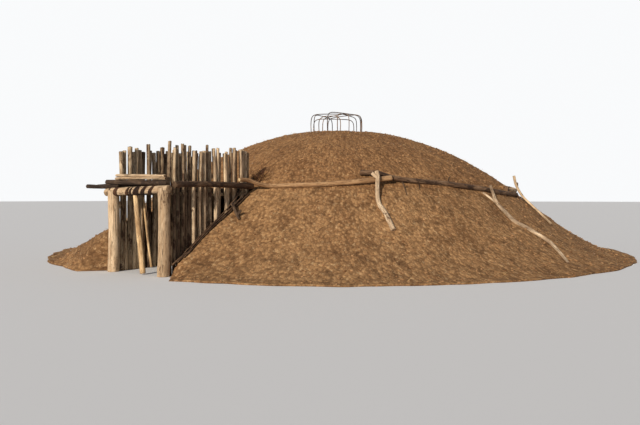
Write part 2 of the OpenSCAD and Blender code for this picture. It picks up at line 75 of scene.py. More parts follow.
def layeredNoise(points, size, layers=3, shift=0.0):
    total = np.zeros(len(points))
    for k in range(layers):
        total += softNoise(points * (2 ** k / size) + shift + 7.3 * k) / 2 ** k
    return total


def clumpNoise(points, size):
    # 0 in the middle of a clump, about 1 between clumps
    scaled = points / size
    cell = np.floor(scaled).astype(np.int64)
    nearest = np.full(len(points), 9.0)
    for step in itertools.product((-1, 0, 1), repeat=3):
        around = cell + np.array(step)
        centre = around + clumpCentres[cellNumber(around)]
        nearest = np.minimum(nearest, ((scaled - centre) ** 2).sum(axis=1))
    return np.sqrt(nearest)


def easeBetween(low, high, value):
    share = np.clip((value - low) / (high - low), 0, 1)
    return share * share * (3 - 2 * share)


# Meshes

def meshPiece(name, points, quads, triangles, attributes):
    mesh = bpy.data.meshes.new(name)
    mesh.vertices.add(len(points))
    mesh.vertices.foreach_set("co", np.asarray(points, np.float32).ravel())
    corners = np.concatenate([np.asarray(quads, np.int32).ravel(), np.asarray(triangles, np.int32).ravel()])
    sizes = np.concatenate([np.full(len(quads), 4), np.full(len(triangles), 3)])
    mesh.loops.add(len(corners))
    mesh.loops.foreach_set("vertex_index", corners)
    mesh.polygons.add(len(sizes))
    starts = np.concatenate([[0], np.cumsum(sizes)[:-1]]).astype(np.int32)
    mesh.polygons.foreach_set("loop_start", starts)
    mesh.update(calc_edges=True)
    for key, values in attributes.items():
        values = np.asarray(values, np.float32)
        kind, field = ("FLOAT_VECTOR", "vector") if values.ndim == 2 else ("FLOAT", "value")
        mesh.attributes.new(key, kind, "POINT").data.foreach_set(field, values.ravel())
    mesh.validate()
    mesh.shade_smooth()
    piece = bpy.data.objects.new(name, mesh)
    bpy.context.scene.collection.objects.link(piece)
    return piece


def dress(piece, material, slotName, *replaced):
    piece.data.materials.clear()
    piece.data.materials.append(material)
    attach(piece, "root")
    if replaced:
        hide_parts(*replaced)
    return piece


# Material helpers

def paint(red, green, blue):
    def linear(value):
        value /= 255
        return value / 12.92 if value <= 0.04045 else ((value + 0.055) / 1.055) ** 2.4
    return (linear(red), linear(green), linear(blue), 1.0)


def put(tree, kind, inputs=None, **settings):
    node = tree.nodes.new(kind)
    for key, value in settings.items():
        setattr(node, key, value)
    for key, value in (inputs or {}).items():
        if isinstance(value, bpy.types.NodeSocket):
            tree.links.new(value, node.inputs[key])
        else:
            node.inputs[key].default_value = value
    return node


def mixColours(tree, share, first, second, blend="MIX"):
    inputs = {0: share, 6: first, 7: second}
    return put(tree, "ShaderNodeMix", inputs, data_type="RGBA", blend_type=blend).outputs[2]


def sums(tree, operation, first, second=0.0, third=0.0):
    inputs = {0: first, 1: second, 2: third}
    return put(tree, "ShaderNodeMath", inputs, operation=operation).outputs[0]


def stretch(tree, vector, scales):
    return put(tree, "ShaderNodeVectorMath", {0: vector, 1: scales}, operation="MULTIPLY").outputs[0]


def noiseOf(tree, vector, scale, detail=3.0, roughness=0.55, warp=0.0):
    inputs = {"Vector": vector, "Scale": scale, "Detail": detail, "Roughness": roughness, "Distortion": warp}
    return put(tree, "ShaderNodeTexNoise", inputs).outputs[0]


def spread(tree, value, low, high, toLow=0.0, toHigh=1.0):
    inputs = {0: value, 1: low, 2: high, 3: toLow, 4: toHigh}
    return put(tree, "ShaderNodeMapRange", inputs).outputs[0]


def newGroup(name, inputs, outputs):
    group = bpy.data.node_groups.new(name, "ShaderNodeTree")
    for label, kind in inputs:
        group.interface.new_socket(name=label, in_out="INPUT", socket_type=kind)
    for label, kind in outputs:
        group.interface.new_socket(name=label, in_out="OUTPUT", socket_type=kind)
    return group, group.nodes.new("NodeGroupInput"), group.nodes.new("NodeGroupOutput")


def newMaterial(name, roughness, specular):
    material = bpy.data.materials.new(name)
    material.use_nodes = True
    tree = material.node_tree
    shader = tree.nodes["Principled BSDF"]
    shader.inputs["Roughness"].default_value = roughness
    shader.inputs["Specular IOR Level"].default_value = specular
    return material, tree, shader


def bumpFrom(tree, shader, height, distance, strength=1.0):
    bump = put(tree, "ShaderNodeBump", {"Strength": strength, "Distance": distance, "Height": height})
    tree.links.new(bump.outputs[0], shader.inputs["Normal"])


# Geometry Nodes helpers

def newGrowth(name, inputs):
    tree = bpy.data.node_groups.new(name, "GeometryNodeTree")
    tree.interface.new_socket(name="Geometry", in_out="INPUT", socket_type="NodeSocketGeometry")
    for label, kind in inputs:
        tree.interface.new_socket(name=label, in_out="INPUT", socket_type=kind)
    tree.interface.new_socket(name="Geometry", in_out="OUTPUT", socket_type="NodeSocketGeometry")
    return tree, tree.nodes.new("NodeGroupInput").outputs, tree.nodes.new("NodeGroupOutput")


def endGrowth(tree, geometry, material, result):
    # every tree ends in real geometry with its material
    real = put(tree, "GeometryNodeRealizeInstances", {"Geometry": geometry}).outputs[0]
    dressed = put(tree, "GeometryNodeSetMaterial", {"Geometry": real, "Material": material}).outputs[0]
    tree.links.new(dressed, result.inputs["Geometry"])
    return tree


def grow(tree, base, name, values):
    # the tree's result on a base mesh, as a plain mesh
    holder = bpy.data.objects.new(name + "_base", base)
    bpy.context.scene.collection.objects.link(holder)
    modifier = holder.modifiers.new("growth", "NODES")
    modifier.node_group = tree
    for socket in tree.interface.items_tree:
        if socket.in_out == "INPUT" and socket.name in values:
            modifier[socket.identifier] = values[socket.name]
    graph = bpy.context.evaluated_depsgraph_get()
    mesh = bpy.data.meshes.new_from_object(holder.evaluated_get(graph), depsgraph=graph)
    holder.modifiers.remove(modifier)
    bpy.data.objects.remove(holder)
    mesh.name = name
    return mesh


def grownPiece(mesh, name, material, slotName):
    # what has grown stays above the ground
    spots = np.empty(len(mesh.vertices) * 3, np.float32)
    mesh.vertices.foreach_get("co", spots)
    spots[2::3] = np.maximum(spots[2::3], 0)
    mesh.vertices.foreach_set("co", spots)
    piece = bpy.data.objects.new(name, mesh)
    bpy.context.scene.collection.objects.link(piece)
    return dress(piece, material, slotName)


def randomNumber(tree, low, high, seed):
    inputs = {2: low, 3: high, "Seed": seed}
    return put(tree, "FunctionNodeRandomValue", inputs, data_type="FLOAT").outputs[1]


def randomVector(tree, low, high, seed):
    inputs = {0: low, 1: high, "Seed": seed}
    return put(tree, "FunctionNodeRandomValue", inputs, data_type="FLOAT_VECTOR").outputs[0]


# Wood: fibres, drying cracks and stains that run along the log

def buildFibreGroup():
    float1, vector = "NodeSocketFloat", "NodeSocketVector"
    group, given, result = newGroup(
        "woodFibre",
        [("Grain", vector), ("Coarseness", float1)],
        [("Fibre", float1), ("Crack", float1), ("Stain", float1), ("Fleck", float1)],
    )
    grain, coarse = given.outputs["Grain"], given.outputs["Coarseness"]
    long = stretch(group, grain, (1, 1, 0.05))
    fibre = noiseOf(group, long, sums(group, "MULTIPLY", coarse, 90.0), 5, 0.6, 0.3)
    checks = noiseOf(group, stretch(group, grain, (1, 1, 0.035)), sums(group, "MULTIPLY", coarse, 34.0), 2, 0.5, 0.6)
    narrow = sums(group, "ABSOLUTE", sums(group, "SUBTRACT", checks, 0.5))
    crack = spread(group, narrow, 0.004, 0.022, 1.0, 0.0)
    stain = noiseOf(group, stretch(group, grain, (1, 1, 0.3)), sums(group, "MULTIPLY", coarse, 7.0), 4, 0.6, 0.8)
    fleck = noiseOf(group, stretch(group, grain, (1, 1, 0.22)), sums(group, "MULTIPLY", coarse, 40.0), 3, 0.7)
    for label, value in (("Fibre", fibre), ("Crack", crack), ("Stain", stain), ("Fleck", fleck)):
        group.links.new(value, result.inputs[label])
    return group


fibreGroup = buildFibreGroup()

# Each wood: light, middle and dark tone, the tone of cracks and of bark, and how much bark is left
woods = {
    "paleWood": dict(light=(216, 190, 156), middle=(194, 164, 129), dark=(146, 116, 86), crack=(58, 42, 30),
                     bark=(108, 80, 56), barkShare=0.06, endLight=(176, 148, 116), endDark=(116, 88, 62), depth=0.005),
    # splitWood's end tones are dark as painted shade on the split log's end faces
    "splitWood": dict(light=(218, 192, 158), middle=(198, 168, 132), dark=(140, 110, 80), crack=(48, 34, 24),
                      bark=(96, 70, 48), barkShare=0.12, endLight=(92, 68, 48), endDark=(44, 31, 22), depth=0.006),
    "railWood": dict(light=(188, 151, 111), middle=(150, 113, 77), dark=(98, 69, 45), crack=(66, 44, 28),
                     bark=(112, 76, 46), barkShare=0.04, endLight=(226, 200, 156), endDark=(176, 144, 100), depth=0.004),
    "propWood": dict(light=(222, 198, 166), middle=(194, 165, 132), dark=(124, 96, 70), crack=(44, 30, 22),
                     bark=(84, 60, 44), barkShare=0.14, endLight=(170, 142, 112), endDark=(104, 78, 56), depth=0.008),
    # greyWood's wide range lets the tint carry the passage poles' painted light and shade
    "greyWood": dict(light=(224, 198, 162), middle=(184, 155, 121), dark=(118, 92, 68), crack=(40, 28, 20),
                     bark=(84, 54, 37), barkShare=0.20, endLight=(160, 134, 106), endDark=(98, 74, 54), depth=0.006,
                     range=(0.46, 1.18)),
    "askewWood": dict(light=(238, 206, 158), middle=(212, 174, 122), dark=(160, 122, 82), crack=(62, 44, 30),
                      bark=(120, 86, 56), barkShare=0.03, endLight=(190, 158, 116), endDark=(120, 90, 62), depth=0.004),
    "brownWood": dict(light=(160, 128, 98), middle=(118, 88, 64), dark=(74, 53, 38), crack=(30, 21, 15),
                      bark=(62, 43, 31), barkShare=0.40, endLight=(150, 122, 92), endDark=(92, 70, 50), depth=0.008),
    "darkWood": dict(light=(108, 86, 66), middle=(74, 56, 42), dark=(46, 34, 25), crack=(20, 15, 12),
                     bark=(46, 33, 25), barkShare=0.50, endLight=(128, 104, 80), endDark=(72, 54, 40), depth=0.008),
    "innerWood": dict(light=(170, 138, 104), middle=(138, 108, 78), dark=(96, 70, 50), crack=(40, 28, 20),
                      bark=(70, 48, 34), barkShare=0.25, endLight=(170, 140, 106), endDark=(110, 84, 60), depth=0.005),
    "brushTwig": dict(light=(178, 138, 84), middle=(122, 80, 50), dark=(72, 42, 30), crack=(30, 20, 14),
                      bark=(84, 44, 32), barkShare=0.55, endLight=(170, 138, 96), endDark=(100, 70, 46), depth=0.002),
}
lintelBandLook = dict(light=(92, 62, 42), middle=(66, 43, 29), dark=(40, 26, 18), crack=(18, 12, 9), bark=(34, 22, 16),
                 barkShare=0.40, endLight=(100, 74, 50), endDark=(60, 42, 30), depth=0.003)


def woodMaterial(name, look, turned=None):
    material, tree, shader = newMaterial(name, 0.86, 0.25)
    if turned is None:  # a log with its own grain
        grain = put(tree, "ShaderNodeAttribute", attribute_name="grain").outputs["Vector"]
        tint = put(tree, "ShaderNodeAttribute", attribute_name="tint").outputs["Fac"]
        endGrain = put(tree, "ShaderNodeAttribute", attribute_name="endGrain").outputs["Fac"]
    else:  # a plain piece whose grain runs one way
        place = put(tree, "ShaderNodeTexCoord").outputs["Object"]
        grain = put(tree, "ShaderNodeMapping", {"Vector": place, "Rotation": turned}).outputs[0]
        tint = spread(tree, noiseOf(tree, place, 1.7, 1), 0.35, 0.65)
        endGrain = 0.0
    fibre = put(tree, "ShaderNodeGroup", node_tree=fibreGroup)
    tree.links.new(grain, fibre.inputs["Grain"])
    fibre.inputs["Coarseness"].default_value = 1.0
    streak = spread(tree, fibre.outputs["Fibre"], 0.32, 0.68)
    stain = fibre.outputs["Stain"]
    tone = mixColours(tree, streak, paint(*look["dark"]), paint(*look["middle"]))
    # the pale tone follows the stains and the tint; on the passage poles the tint is painted light and shade
    paleAndLit = sums(tree, "ADD", spread(tree, stain, 0.40, 0.66), sums(tree, "MULTIPLY_ADD", tint, 0.8, -0.4))
    tone = mixColours(tree, sums(tree, "MULTIPLY", paleAndLit, 0.75), tone, paint(*look["light"]))
    tone = mixColours(tree, sums(tree, "MULTIPLY", spread(tree, fibre.outputs["Fleck"], 0.56, 0.72), 0.35),
                      tone, paint(*look["dark"]))
    barkEdge = 0.50 + 0.22 * (0.5 - look["barkShare"])
    barkNoise = sums(tree, "ADD", noiseOf(tree, stretch(tree, grain, (1, 1, 0.42)), 6.3, 5, 0.7, 0.4),
                     sums(tree, "MULTIPLY_ADD", tint, -0.10, 0.05))
    bark = spread(tree, barkNoise, barkEdge, barkEdge + 0.035)
    tone = mixColours(tree, sums(tree, "MULTIPLY", bark, 0.85), tone, paint(*look["bark"]))
    tone = mixColours(tree, sums(tree, "MULTIPLY", fibre.outputs["Crack"], 0.8), tone, paint(*look["crack"]))
    radial = put(tree, "ShaderNodeVectorMath", {0: stretch(tree, grain, (1, 1, 0))}, operation="LENGTH").outputs[1]
    wobble = sums(tree, "ADD", sums(tree, "MULTIPLY", radial, 420.0),
                  sums(tree, "MULTIPLY", noiseOf(tree, grain, 18.0, 2), 6.0))
    rings = spread(tree, sums(tree, "SINE", wobble), -1.0, 1.0)
    endTone = mixColours(tree, rings, paint(*look["endDark"]), paint(*look["endLight"]))
    stained = spread(tree, fibre.outputs["Stain"], 0.45, 0.62, 0.0, 0.7)
    endTone = mixColours(tree, stained, endTone, paint(*look["dark"]))
    if turned is None:
        tone = mixColours(tree, endGrain, tone, endTone)
    # some logs keep a reddish inner bark
    own = sums(tree, "FRACT", sums(tree, "MULTIPLY", tint, 7.3))
    patches = spread(tree, noiseOf(tree, stretch(tree, grain, (1, 1, 0.5)), 4.0, 3), 0.38, 0.56)
    reddish = sums(tree, "MULTIPLY", spread(tree, own, 0.70, 0.95, 0.0, 0.6), patches)
    tone = mixColours(tree, reddish, tone, paint(*look["bark"]))
    # the tint also sets the brightness, which on the passage poles is painted light and shade
    brightness = spread(tree, tint, 0.0, 1.0, *look.get("range", (0.74, 1.12)))
    tone = put(tree, "ShaderNodeVectorMath", {0: tone, "Scale": brightness}, operation="SCALE").outputs[0]
    tree.links.new(tone, shader.inputs["Base Color"])
    height = sums(tree, "MULTIPLY_ADD", fibre.outputs["Crack"], -1.0, sums(tree, "MULTIPLY", streak, 0.35))
    height = sums(tree, "ADD", height, sums(tree, "MULTIPLY", bark, 0.7))
    bumpFrom(tree, shader, height, look["depth"])
    return material


# Soil: dry crust, darker damp patches, crumbs and small stones, with painted shade in its hollows and between its clods

# How level lengths count in the soil's patterns: downSlope for a metre down the slope, and for one round the
# mound also roundMound divided by the distance from the middle, which is taken as nearest at the least
soilFlow = dict(downSlope=0.4, roundMound=3.6, nearest=2.5)


def buildSoilGroup():
    float1 = "NodeSocketFloat"
    group, given, result = newGroup(
        "soilGrit",
        [("Place", "NodeSocketVector")],
        [("Patch", float1), ("Crumb", float1), ("Clod", float1), ("ClodTone", float1), ("Gap", float1),
         ("Fine", float1), ("Speck", float1), ("Height", float1)],
    )
    # crumbs are drawn out down the slope as rain does
    level = stretch(group, given.outputs["Place"], (1, 1, 0))
    distance = put(group, "ShaderNodeVectorMath", {0: level}, operation="LENGTH").outputs[1]
    share = sums(group, "DIVIDE", soilFlow["roundMound"], sums(group, "MAXIMUM", distance, soilFlow["nearest"]))
    squeeze = sums(group, "ADD", share, soilFlow["downSlope"])
    factors = put(group, "ShaderNodeCombineXYZ", {0: squeeze, 1: squeeze, 2: 1.0}).outputs[0]
    place = put(group, "ShaderNodeVectorMath", {0: given.outputs["Place"], 1: factors}, operation="MULTIPLY").outputs[0]
    patch = noiseOf(group, place, 1.0, 6, 0.62, 0.5)
    crumb = noiseOf(group, place, 4.5, 6, 0.74)
    fine = noiseOf(group, place, 30.0, 5, 0.75)
    speck = noiseOf(group, place, 13.5, 4, 0.72)
    wobble = put(group, "ShaderNodeTexNoise", {"Vector": place, "Scale": 22.0, "Detail": 2.0}).outputs[1]
    bent = put(group, "ShaderNodeVectorMath", {0: wobble, 1: (0.035,) * 3, 2: place}, operation="MULTIPLY_ADD")
    cells = put(group, "ShaderNodeTexVoronoi", {"Vector": bent.outputs[0], "Scale": 13.0, "Randomness": 1.0})
    clodTone = put(group, "ShaderNodeSeparateColor", {0: cells.outputs["Color"]}).outputs[0]
    clod = spread(group, cells.outputs["Distance"], 0.15, 0.55, 1.0, 0.0)
    gap = spread(group, cells.outputs["Distance"], 0.46, 0.66)
    height = sums(group, "MULTIPLY_ADD", crumb, 0.6, sums(group, "MULTIPLY", fine, 0.4))
    height = sums(group, "MULTIPLY_ADD", clod, 0.3, height)
    for label, value in (("Patch", patch), ("Crumb", crumb), ("Clod", clod), ("ClodTone", clodTone), ("Gap", gap),
                         ("Fine", fine), ("Speck", speck), ("Height", height)):
        group.links.new(value, result.inputs[label])
    return group


soilGroup = buildSoilGroup()

# hollowShade is the painted shade of the soil's hollows, gaps and pits
soils = {
    "bankSoil": dict(light=(193, 151, 105), middle=(164, 123, 82), dark=(118, 84, 54), hollowShade=(66, 44, 28),
                     crust=(224, 190, 144)),
    "roofSoil": dict(light=(188, 144, 98), middle=(159, 116, 75), dark=(115, 80, 51), hollowShade=(66, 44, 28),
                     crust=(216, 178, 130)),
}


def soilMaterial(name, look):
    material, tree, shader = newMaterial(name, 0.96, 0.12)
    place = put(tree, "ShaderNodeTexCoord").outputs["Object"]
    relief = put(tree, "ShaderNodeAttribute", attribute_name="relief").outputs["Fac"]
    grit = put(tree, "ShaderNodeGroup", node_tree=soilGroup)
    tree.links.new(place, grit.inputs["Place"])
    light, dark, hollowShade = (paint(*look[key]) for key in ("light", "dark", "hollowShade"))
    tone = mixColours(tree, spread(tree, grit.outputs["Patch"], 0.36, 0.62), dark, light)
    tone = mixColours(tree, 0.52, tone, paint(*look["middle"]))
    clodShare = sums(tree, "MULTIPLY", grit.outputs["Clod"], 0.65)
    clodTint = mixColours(tree, grit.outputs["ClodTone"], dark, light)
    tone = mixColours(tree, clodShare, tone, clodTint)
    # painted shade: the hollow-shade tone darkens the dips of the crumbs, the gaps between clods, the low places of the
    # relief and the dark specks, and the dark tone the dips of the fine grain; crumb tops and the high places of the
    # relief turn lighter
    tone = mixColours(tree, spread(tree, grit.outputs["Crumb"], 0.36, 0.50, 0.60, 0.0), tone, hollowShade)
    tone = mixColours(tree, spread(tree, grit.outputs["Crumb"], 0.54, 0.68, 0.0, 0.50), tone, light)
    tone = mixColours(tree, sums(tree, "MULTIPLY", grit.outputs["Gap"], 0.50), tone, hollowShade)
    tone = mixColours(tree, spread(tree, relief, 0.25, 0.50, 0.40, 0.0), tone, hollowShade)
    tone = mixColours(tree, spread(tree, relief, 0.55, 0.85, 0.0, 0.35), tone, light)
    tone = mixColours(tree, spread(tree, grit.outputs["Fine"], 0.38, 0.56, 0.45, 0.0), tone, dark)
    tone = mixColours(tree, spread(tree, grit.outputs["Speck"], 0.34, 0.45, 0.55, 0.0), tone, hollowShade)
    tone = mixColours(tree, spread(tree, grit.outputs["Speck"], 0.56, 0.68, 0.0, 0.42), tone, paint(*look["crust"]))
    tree.links.new(tone, shader.inputs["Base Color"])
    bumpFrom(tree, shader, grit.outputs["Height"], 0.045)
    return material


def clodMaterial(name, tones, roughness=0.95):
    # each clod, stone or straw has its own share of two tones
    material, tree, shader = newMaterial(name, roughness, 0.15)
    place = put(tree, "ShaderNodeTexCoord").outputs["Object"]
    tint = put(tree, "ShaderNodeAttribute", attribute_name="tint").outputs["Fac"]
    uneven = noiseOf(tree, place, 60.0, 4, 0.7)
    tone = mixColours(tree, tint, paint(*tones[0]), paint(*tones[1]))
    tone = mixColours(tree, spread(tree, uneven, 0.40, 0.60, 0.35, 0.0), tone, paint(*tones[0]))
    tree.links.new(tone, shader.inputs["Base Color"])
    bumpFrom(tree, shader, uneven, 0.006)
    return material


def thatchMaterial():
    material, tree, shader = newMaterial("thatchStraw", 0.9, 0.2)
    place = put(tree, "ShaderNodeTexCoord").outputs["Object"]
    stalks = noiseOf(tree, stretch(tree, place, (1, 1, 0.08)), 70.0, 4, 0.6, 0.5)
    bundles = noiseOf(tree, place, 3.0, 3)
    tone = mixColours(tree, spread(tree, stalks, 0.36, 0.64), paint(92, 70, 42), paint(190, 164, 112))
    tone = mixColours(tree, spread(tree, bundles, 0.42, 0.60, 0.0, 0.5), tone, paint(120, 96, 62))
    tree.links.new(tone, shader.inputs["Base Color"])
    bumpFrom(tree, shader, stalks, 0.012)
    return material


materials = {name: woodMaterial(name, look) for name, look in woods.items()}
materials["plankWood"] = woodMaterial("plankWood", woods["innerWood"], (0, 0, 0))
materials["lintelBandTone"] = woodMaterial("lintelBandTone", lintelBandLook, (0, 0, 0))
materials["beamWoodX"] = woodMaterial("beamWoodX", woods["innerWood"], (0, math.pi / 2, 0))
materials["beamWoodY"] = woodMaterial("beamWoodY", woods["innerWood"], (math.pi / 2, 0, 0))
materials.update({name: soilMaterial(name, look) for name, look in soils.items()})
materials["thatch"] = thatchMaterial()
materials["soilClod"] = clodMaterial("soilClod", ((110, 76, 49), (188, 146, 104)))
materials["fieldStone"] = clodMaterial("fieldStone", ((134, 104, 76), (196, 166, 128)), 0.85)
materials["straw"] = clodMaterial("straw", ((150, 116, 74), (222, 192, 138)), 0.8)
print("materials ready")


# The mound: its surface is the part's, from the same few sizes

mound = dict(
    radius=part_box("earth_bank_2")[1].x,  # where it meets the ground
    height=3.96,       # crown above the ground
    toe=0.04,          # height of the sod edge at the ground
    bulge=1.45,        # how long its side stays steep
    shoulderDrop=0.10, # how far the shoulder lies below the cosine profile
    shoulderFoot=5.70,
    holeRadius=0.80,
    wallTop=2.00,      # the bank stops here and the roof starts
    bankFoot=5.94,     # inner foot of the bank
    bankTop=5.27,      # inner top of the bank
    passageHalf=0.987, # the earth stops at this distance from the middle line of the passage
    doorFront=8.415,   # and widens in front of the door posts
    flareTurn=math.radians(7 * 360 / 256),  # up to this angle at the mound's edge
)
thatchTop = [(5.27, 2.13), (3.20, 3.00), (0.80, 3.69)]  # underside of the roof's earth


def moundHeight(r):
    r = np.asarray(r, float)
    wave = np.cos(np.pi * (np.minimum(r, mound["radius"]) / mound["radius"]) ** mound["bulge"])
    share = np.clip((r - mound["holeRadius"]) / (mound["shoulderFoot"] - mound["holeRadius"]), 0, 1)
    cosineHeight = mound["toe"] + (mound["height"] - mound["toe"]) * (1 + wave) / 2
    return cosineHeight - mound["shoulderDrop"] * np.sin(np.pi * share) ** 2


def polar(phi, r, z):
    # phi in degrees, from the doorway (-Y) towards +X
    angle = np.radians(phi)
    return np.stack(np.broadcast_arrays(r * np.sin(angle), -r * np.cos(angle), z), axis=-1)


def onMound(rows):
    rows = np.array(rows, float)
    return polar(rows[:, 0], rows[:, 1], moundHeight(rows[:, 1]) + rows[:, 2])


# Logs that lie on the mound: angle, distance and lift above the surface of each point of their path
ringPaths = [
    [(9.9, 6.395, 0.752), (10.6, 6.225, 0.626), (11.25, 6.10, 0.50), (12.2, 5.975, 0.346), (13.35, 5.865, 0.217),
     (15, 5.745, 0.094), (20, 5.69, 0.058), (28, 5.69, 0.082), (36, 5.69, 0.142), (41, 5.70, 0.195),
     (46.5, 5.70, 0.255)],
    [(38.8, 5.35, 0.135), (43, 5.45, 0.20), (47, 5.56, 0.165), (52, 5.59, 0.115), (58, 5.60, 0.08),
     (64, 5.645, 0.072), (70, 5.73, 0.072), (76, 5.81, 0.072), (83, 5.915, 0.072), (93.5, 6.0, 0.075)],
    [(91, 5.79, 0.075), (99, 5.84, 0.075), (108, 5.78, 0.07), (118, 5.69, 0.072),
     (128, 5.70, 0.09), (139, 5.69, 0.07), (150, 5.72, 0.075)],
    [(145, 5.56, 0.075), (154, 5.68, 0.075), (166, 5.70, 0.085), (178, 5.69, 0.07),
     (190, 5.69, 0.08), (200, 5.72, 0.075)],
    [(195, 5.56, 0.075), (205, 5.68, 0.075), (217, 5.69, 0.09), (229, 5.70, 0.07),
     (240, 5.69, 0.08), (250, 5.72, 0.075)],
    [(245, 5.56, 0.075), (255, 5.68, 0.08), (267, 5.70, 0.07), (279, 5.69, 0.085),
     (290, 5.69, 0.07), (300, 5.72, 0.075)],
    [(295, 5.56, 0.075), (305, 5.68, 0.08), (316, 5.69, 0.075), (328, 5.70, 0.09),
     (339, 5.69, 0.11), (348.5, 5.76, 0.23)],
]
ringRadii = [(0.050, 0.067), (0.066, 0.070)] + [(0.065, 0.053)] * 5

earthLook = dict(
    bankSpacing=0.047, roofSpacing=0.040,
    wide=0.040, middle=0.026, lumps=0.017, crumbs=0.016, rills=0.007,  # metres of relief
    pile=0.06,        # soil that has slid against the upper side of the rails
    toeRagged=0.16,
)


# The ridge of earth along the passage: y and height of its crest, and x of its crest and foot
ridgeRows = [(-8.60, 0.02), (-8.25, 0.11), (-7.90, 0.18), (-7.60, 0.24), (-7.30, 0.27),
             (-7.00, 0.25), (-6.70, 0.20), (-6.40, 0.15), (-6.10, 0.11), (-5.80, 0.06), (-5.65, 0.0)]
ridgeCrest, ridgeFoot = 1.10, 1.65

# The bank on the left of the passage: its corners, the upper ones first
leftBankCorners = np.array([
    (-0.90, -8.40, 1.15), (-1.90, -8.30, 0.85), (-2.70, -8.10, 0.62), (-3.50, -7.70, 0.40),
    (-0.90, -7.20, 1.48), (-2.60, -7.00, 1.00), (-0.90, -6.20, 1.55), (-3.30, -5.70, 1.05),
    (-0.90, -8.46, 0.0), (-1.55, -9.03, 0.0), (-2.60, -8.80, 0.0), (-3.90, -8.30, 0.0),
    (-0.90, -6.20, 0.0), (-3.30, -5.70, 0.0), (-4.10, -7.00, 0.0),
])


def upperPlanes(corners):
    # the planes that close the hull of these corners from above: slopes along X and Y, and a height
    planes = []
    for a, b, c in itertools.combinations(corners, 3):
        normal = np.cross(b - a, c - a)
        if abs(normal[2]) > 1e-6:
            normal = normal / normal[2]
            if (corners @ normal < a @ normal + 1e-6).all():
                planes.append((-normal[0], -normal[1], a @ normal))
    return np.array(planes)


leftBankPlanes = upperPlanes(leftBankCorners)


# Left bank: how round its edges and its join with the mound are, how far it is raised, and where it fades along Y
leftBankSoft = dict(edges=0.05, above=0.03, join=0.06, fade=(-5.5, -6.1))


def leftBankRise(x, y, z):
    # how far the left bank stands above the mound, with its edges rounded
    heights = leftBankPlanes[:, 0] * x[:, None] + leftBankPlanes[:, 1] * y[:, None] + leftBankPlanes[:, 2]
    lowest = heights.min(axis=1)
    edges, join = leftBankSoft["edges"], leftBankSoft["join"]
    rounded = lowest - edges * np.log(np.exp((lowest[:, None] - heights) / edges).sum(axis=1))
    above = rounded + leftBankSoft["above"] - z
    swell = join * np.log1p(np.exp(np.clip(above / join, -30, 30)))
    return swell * easeBetween(*leftBankSoft["fade"], y) * (x < 0)


def railPiles(phi, r):
    # soil gathers just above a rail that lies low
    pile = np.zeros(len(r))
    for rows in ringPaths:
        rows = np.array(rows)
        railR = np.interp(phi, rows[:, 0], rows[:, 1], left=-9, right=-9)
        low = easeBetween(0.13, 0.08, np.interp(phi, rows[:, 0], rows[:, 2], left=1, right=1))
        pile = np.maximum(pile, low * np.exp(-((r - railR + 0.13) / 0.10) ** 2))
    return pile


def earthRelief(points, phi, r):
    wander = softNoise(points / 1.3 + 40)
    rillPlace = np.stack([np.radians(phi) * 7 / 0.42 + 0.9 * wander, r / 2.4, np.full(len(r), 3.7)], axis=1)
    rills = 0.45 - np.abs(softNoise(rillPlace)) * 1.8
    rillShare = easeBetween(2.5, 5.0, r) * easeBetween(9.0, 7.6, r)
    clump = clumpNoise(points, 0.24)
    stride = clumpNoise(points + 50, 0.11)
    shape = earthLook["wide"] * softNoise(points / 2.6)
    shape += earthLook["middle"] * layeredNoise(points, 0.75, 3, 11.0)
    texture = earthLook["lumps"] * (0.55 - clump) * easeBetween(-0.5, 0.4, softNoise(points / 0.9 + 21))
    texture += earthLook["crumbs"] * (0.5 - stride)
    texture += earthLook["rills"] * rills * rillShare
    return shape + texture, texture


def shapedEarth(phi, r, z):
    # moves points of the plain surface to the real, uneven one
    plain = polar(phi, r, z)
    x, y = plain[:, 0], plain[:, 1]
    relief, texture = earthRelief(plain, phi, r)
    slope = (moundHeight(r + 0.01) - moundHeight(r - 0.01)) / 0.02
    lean = np.sqrt(1 + slope ** 2)
    calm = easeBetween(0.80, 1.05, r) * 0.8 + 0.2
    calm *= easeBetween(mound["radius"], 8.6, r) * 0.7 + 0.3
    beside = np.abs(x)
    berm = np.interp(y, *zip(*ridgeRows), left=0, right=0) * easeBetween(ridgeFoot, ridgeCrest, beside)
    calm *= easeBetween(1.0, 1.3, beside) * 0.6 + 0.4
    lift = relief * calm + earthLook["pile"] * railPiles(phi, r)
    seam = np.exp(-((r - 5.704) / 0.05) ** 2)
    lift = lift - 0.004 * seam
    outward = -slope / lean * lift
    ragged = easeBetween(8.5, mound["radius"], r) * earthLook["toeRagged"]
    ragged = ragged * (0.5 + 0.6 * layeredNoise(np.stack([x, y, 0 * x], axis=1), 1.1, 2, 5.0)).clip(0, 1)
    leftRise = leftBankRise(x, y, z)
    raised = z + np.maximum(berm, leftRise)
    moved = polar(phi, r + outward - ragged, raised + lift / lean)
    # beside the door posts the earth thins out to the ground
    away = beside - mound["passageHalf"] - 0.90 * np.maximum(-mound["doorFront"] - y, 0)
    thinned = easeBetween(-8.2, -8.5, y) * np.where(x > 0, easeBetween(0.55, 0.0, away), easeBetween(0.30, 0.0, away))
    moved[:, 2] *= 1 - thinned
    moved[:, 2] = np.maximum(moved[:, 2], 0.004)
    # the second value is the tone that the soil darkens with painted shade in its low places; on the left bank it is
    # darker still, partly for its dry grass and partly as painted shade
    return moved, 0.5 + texture / 0.05 - 0.36 * easeBetween(0.1, 0.4, leftRise)


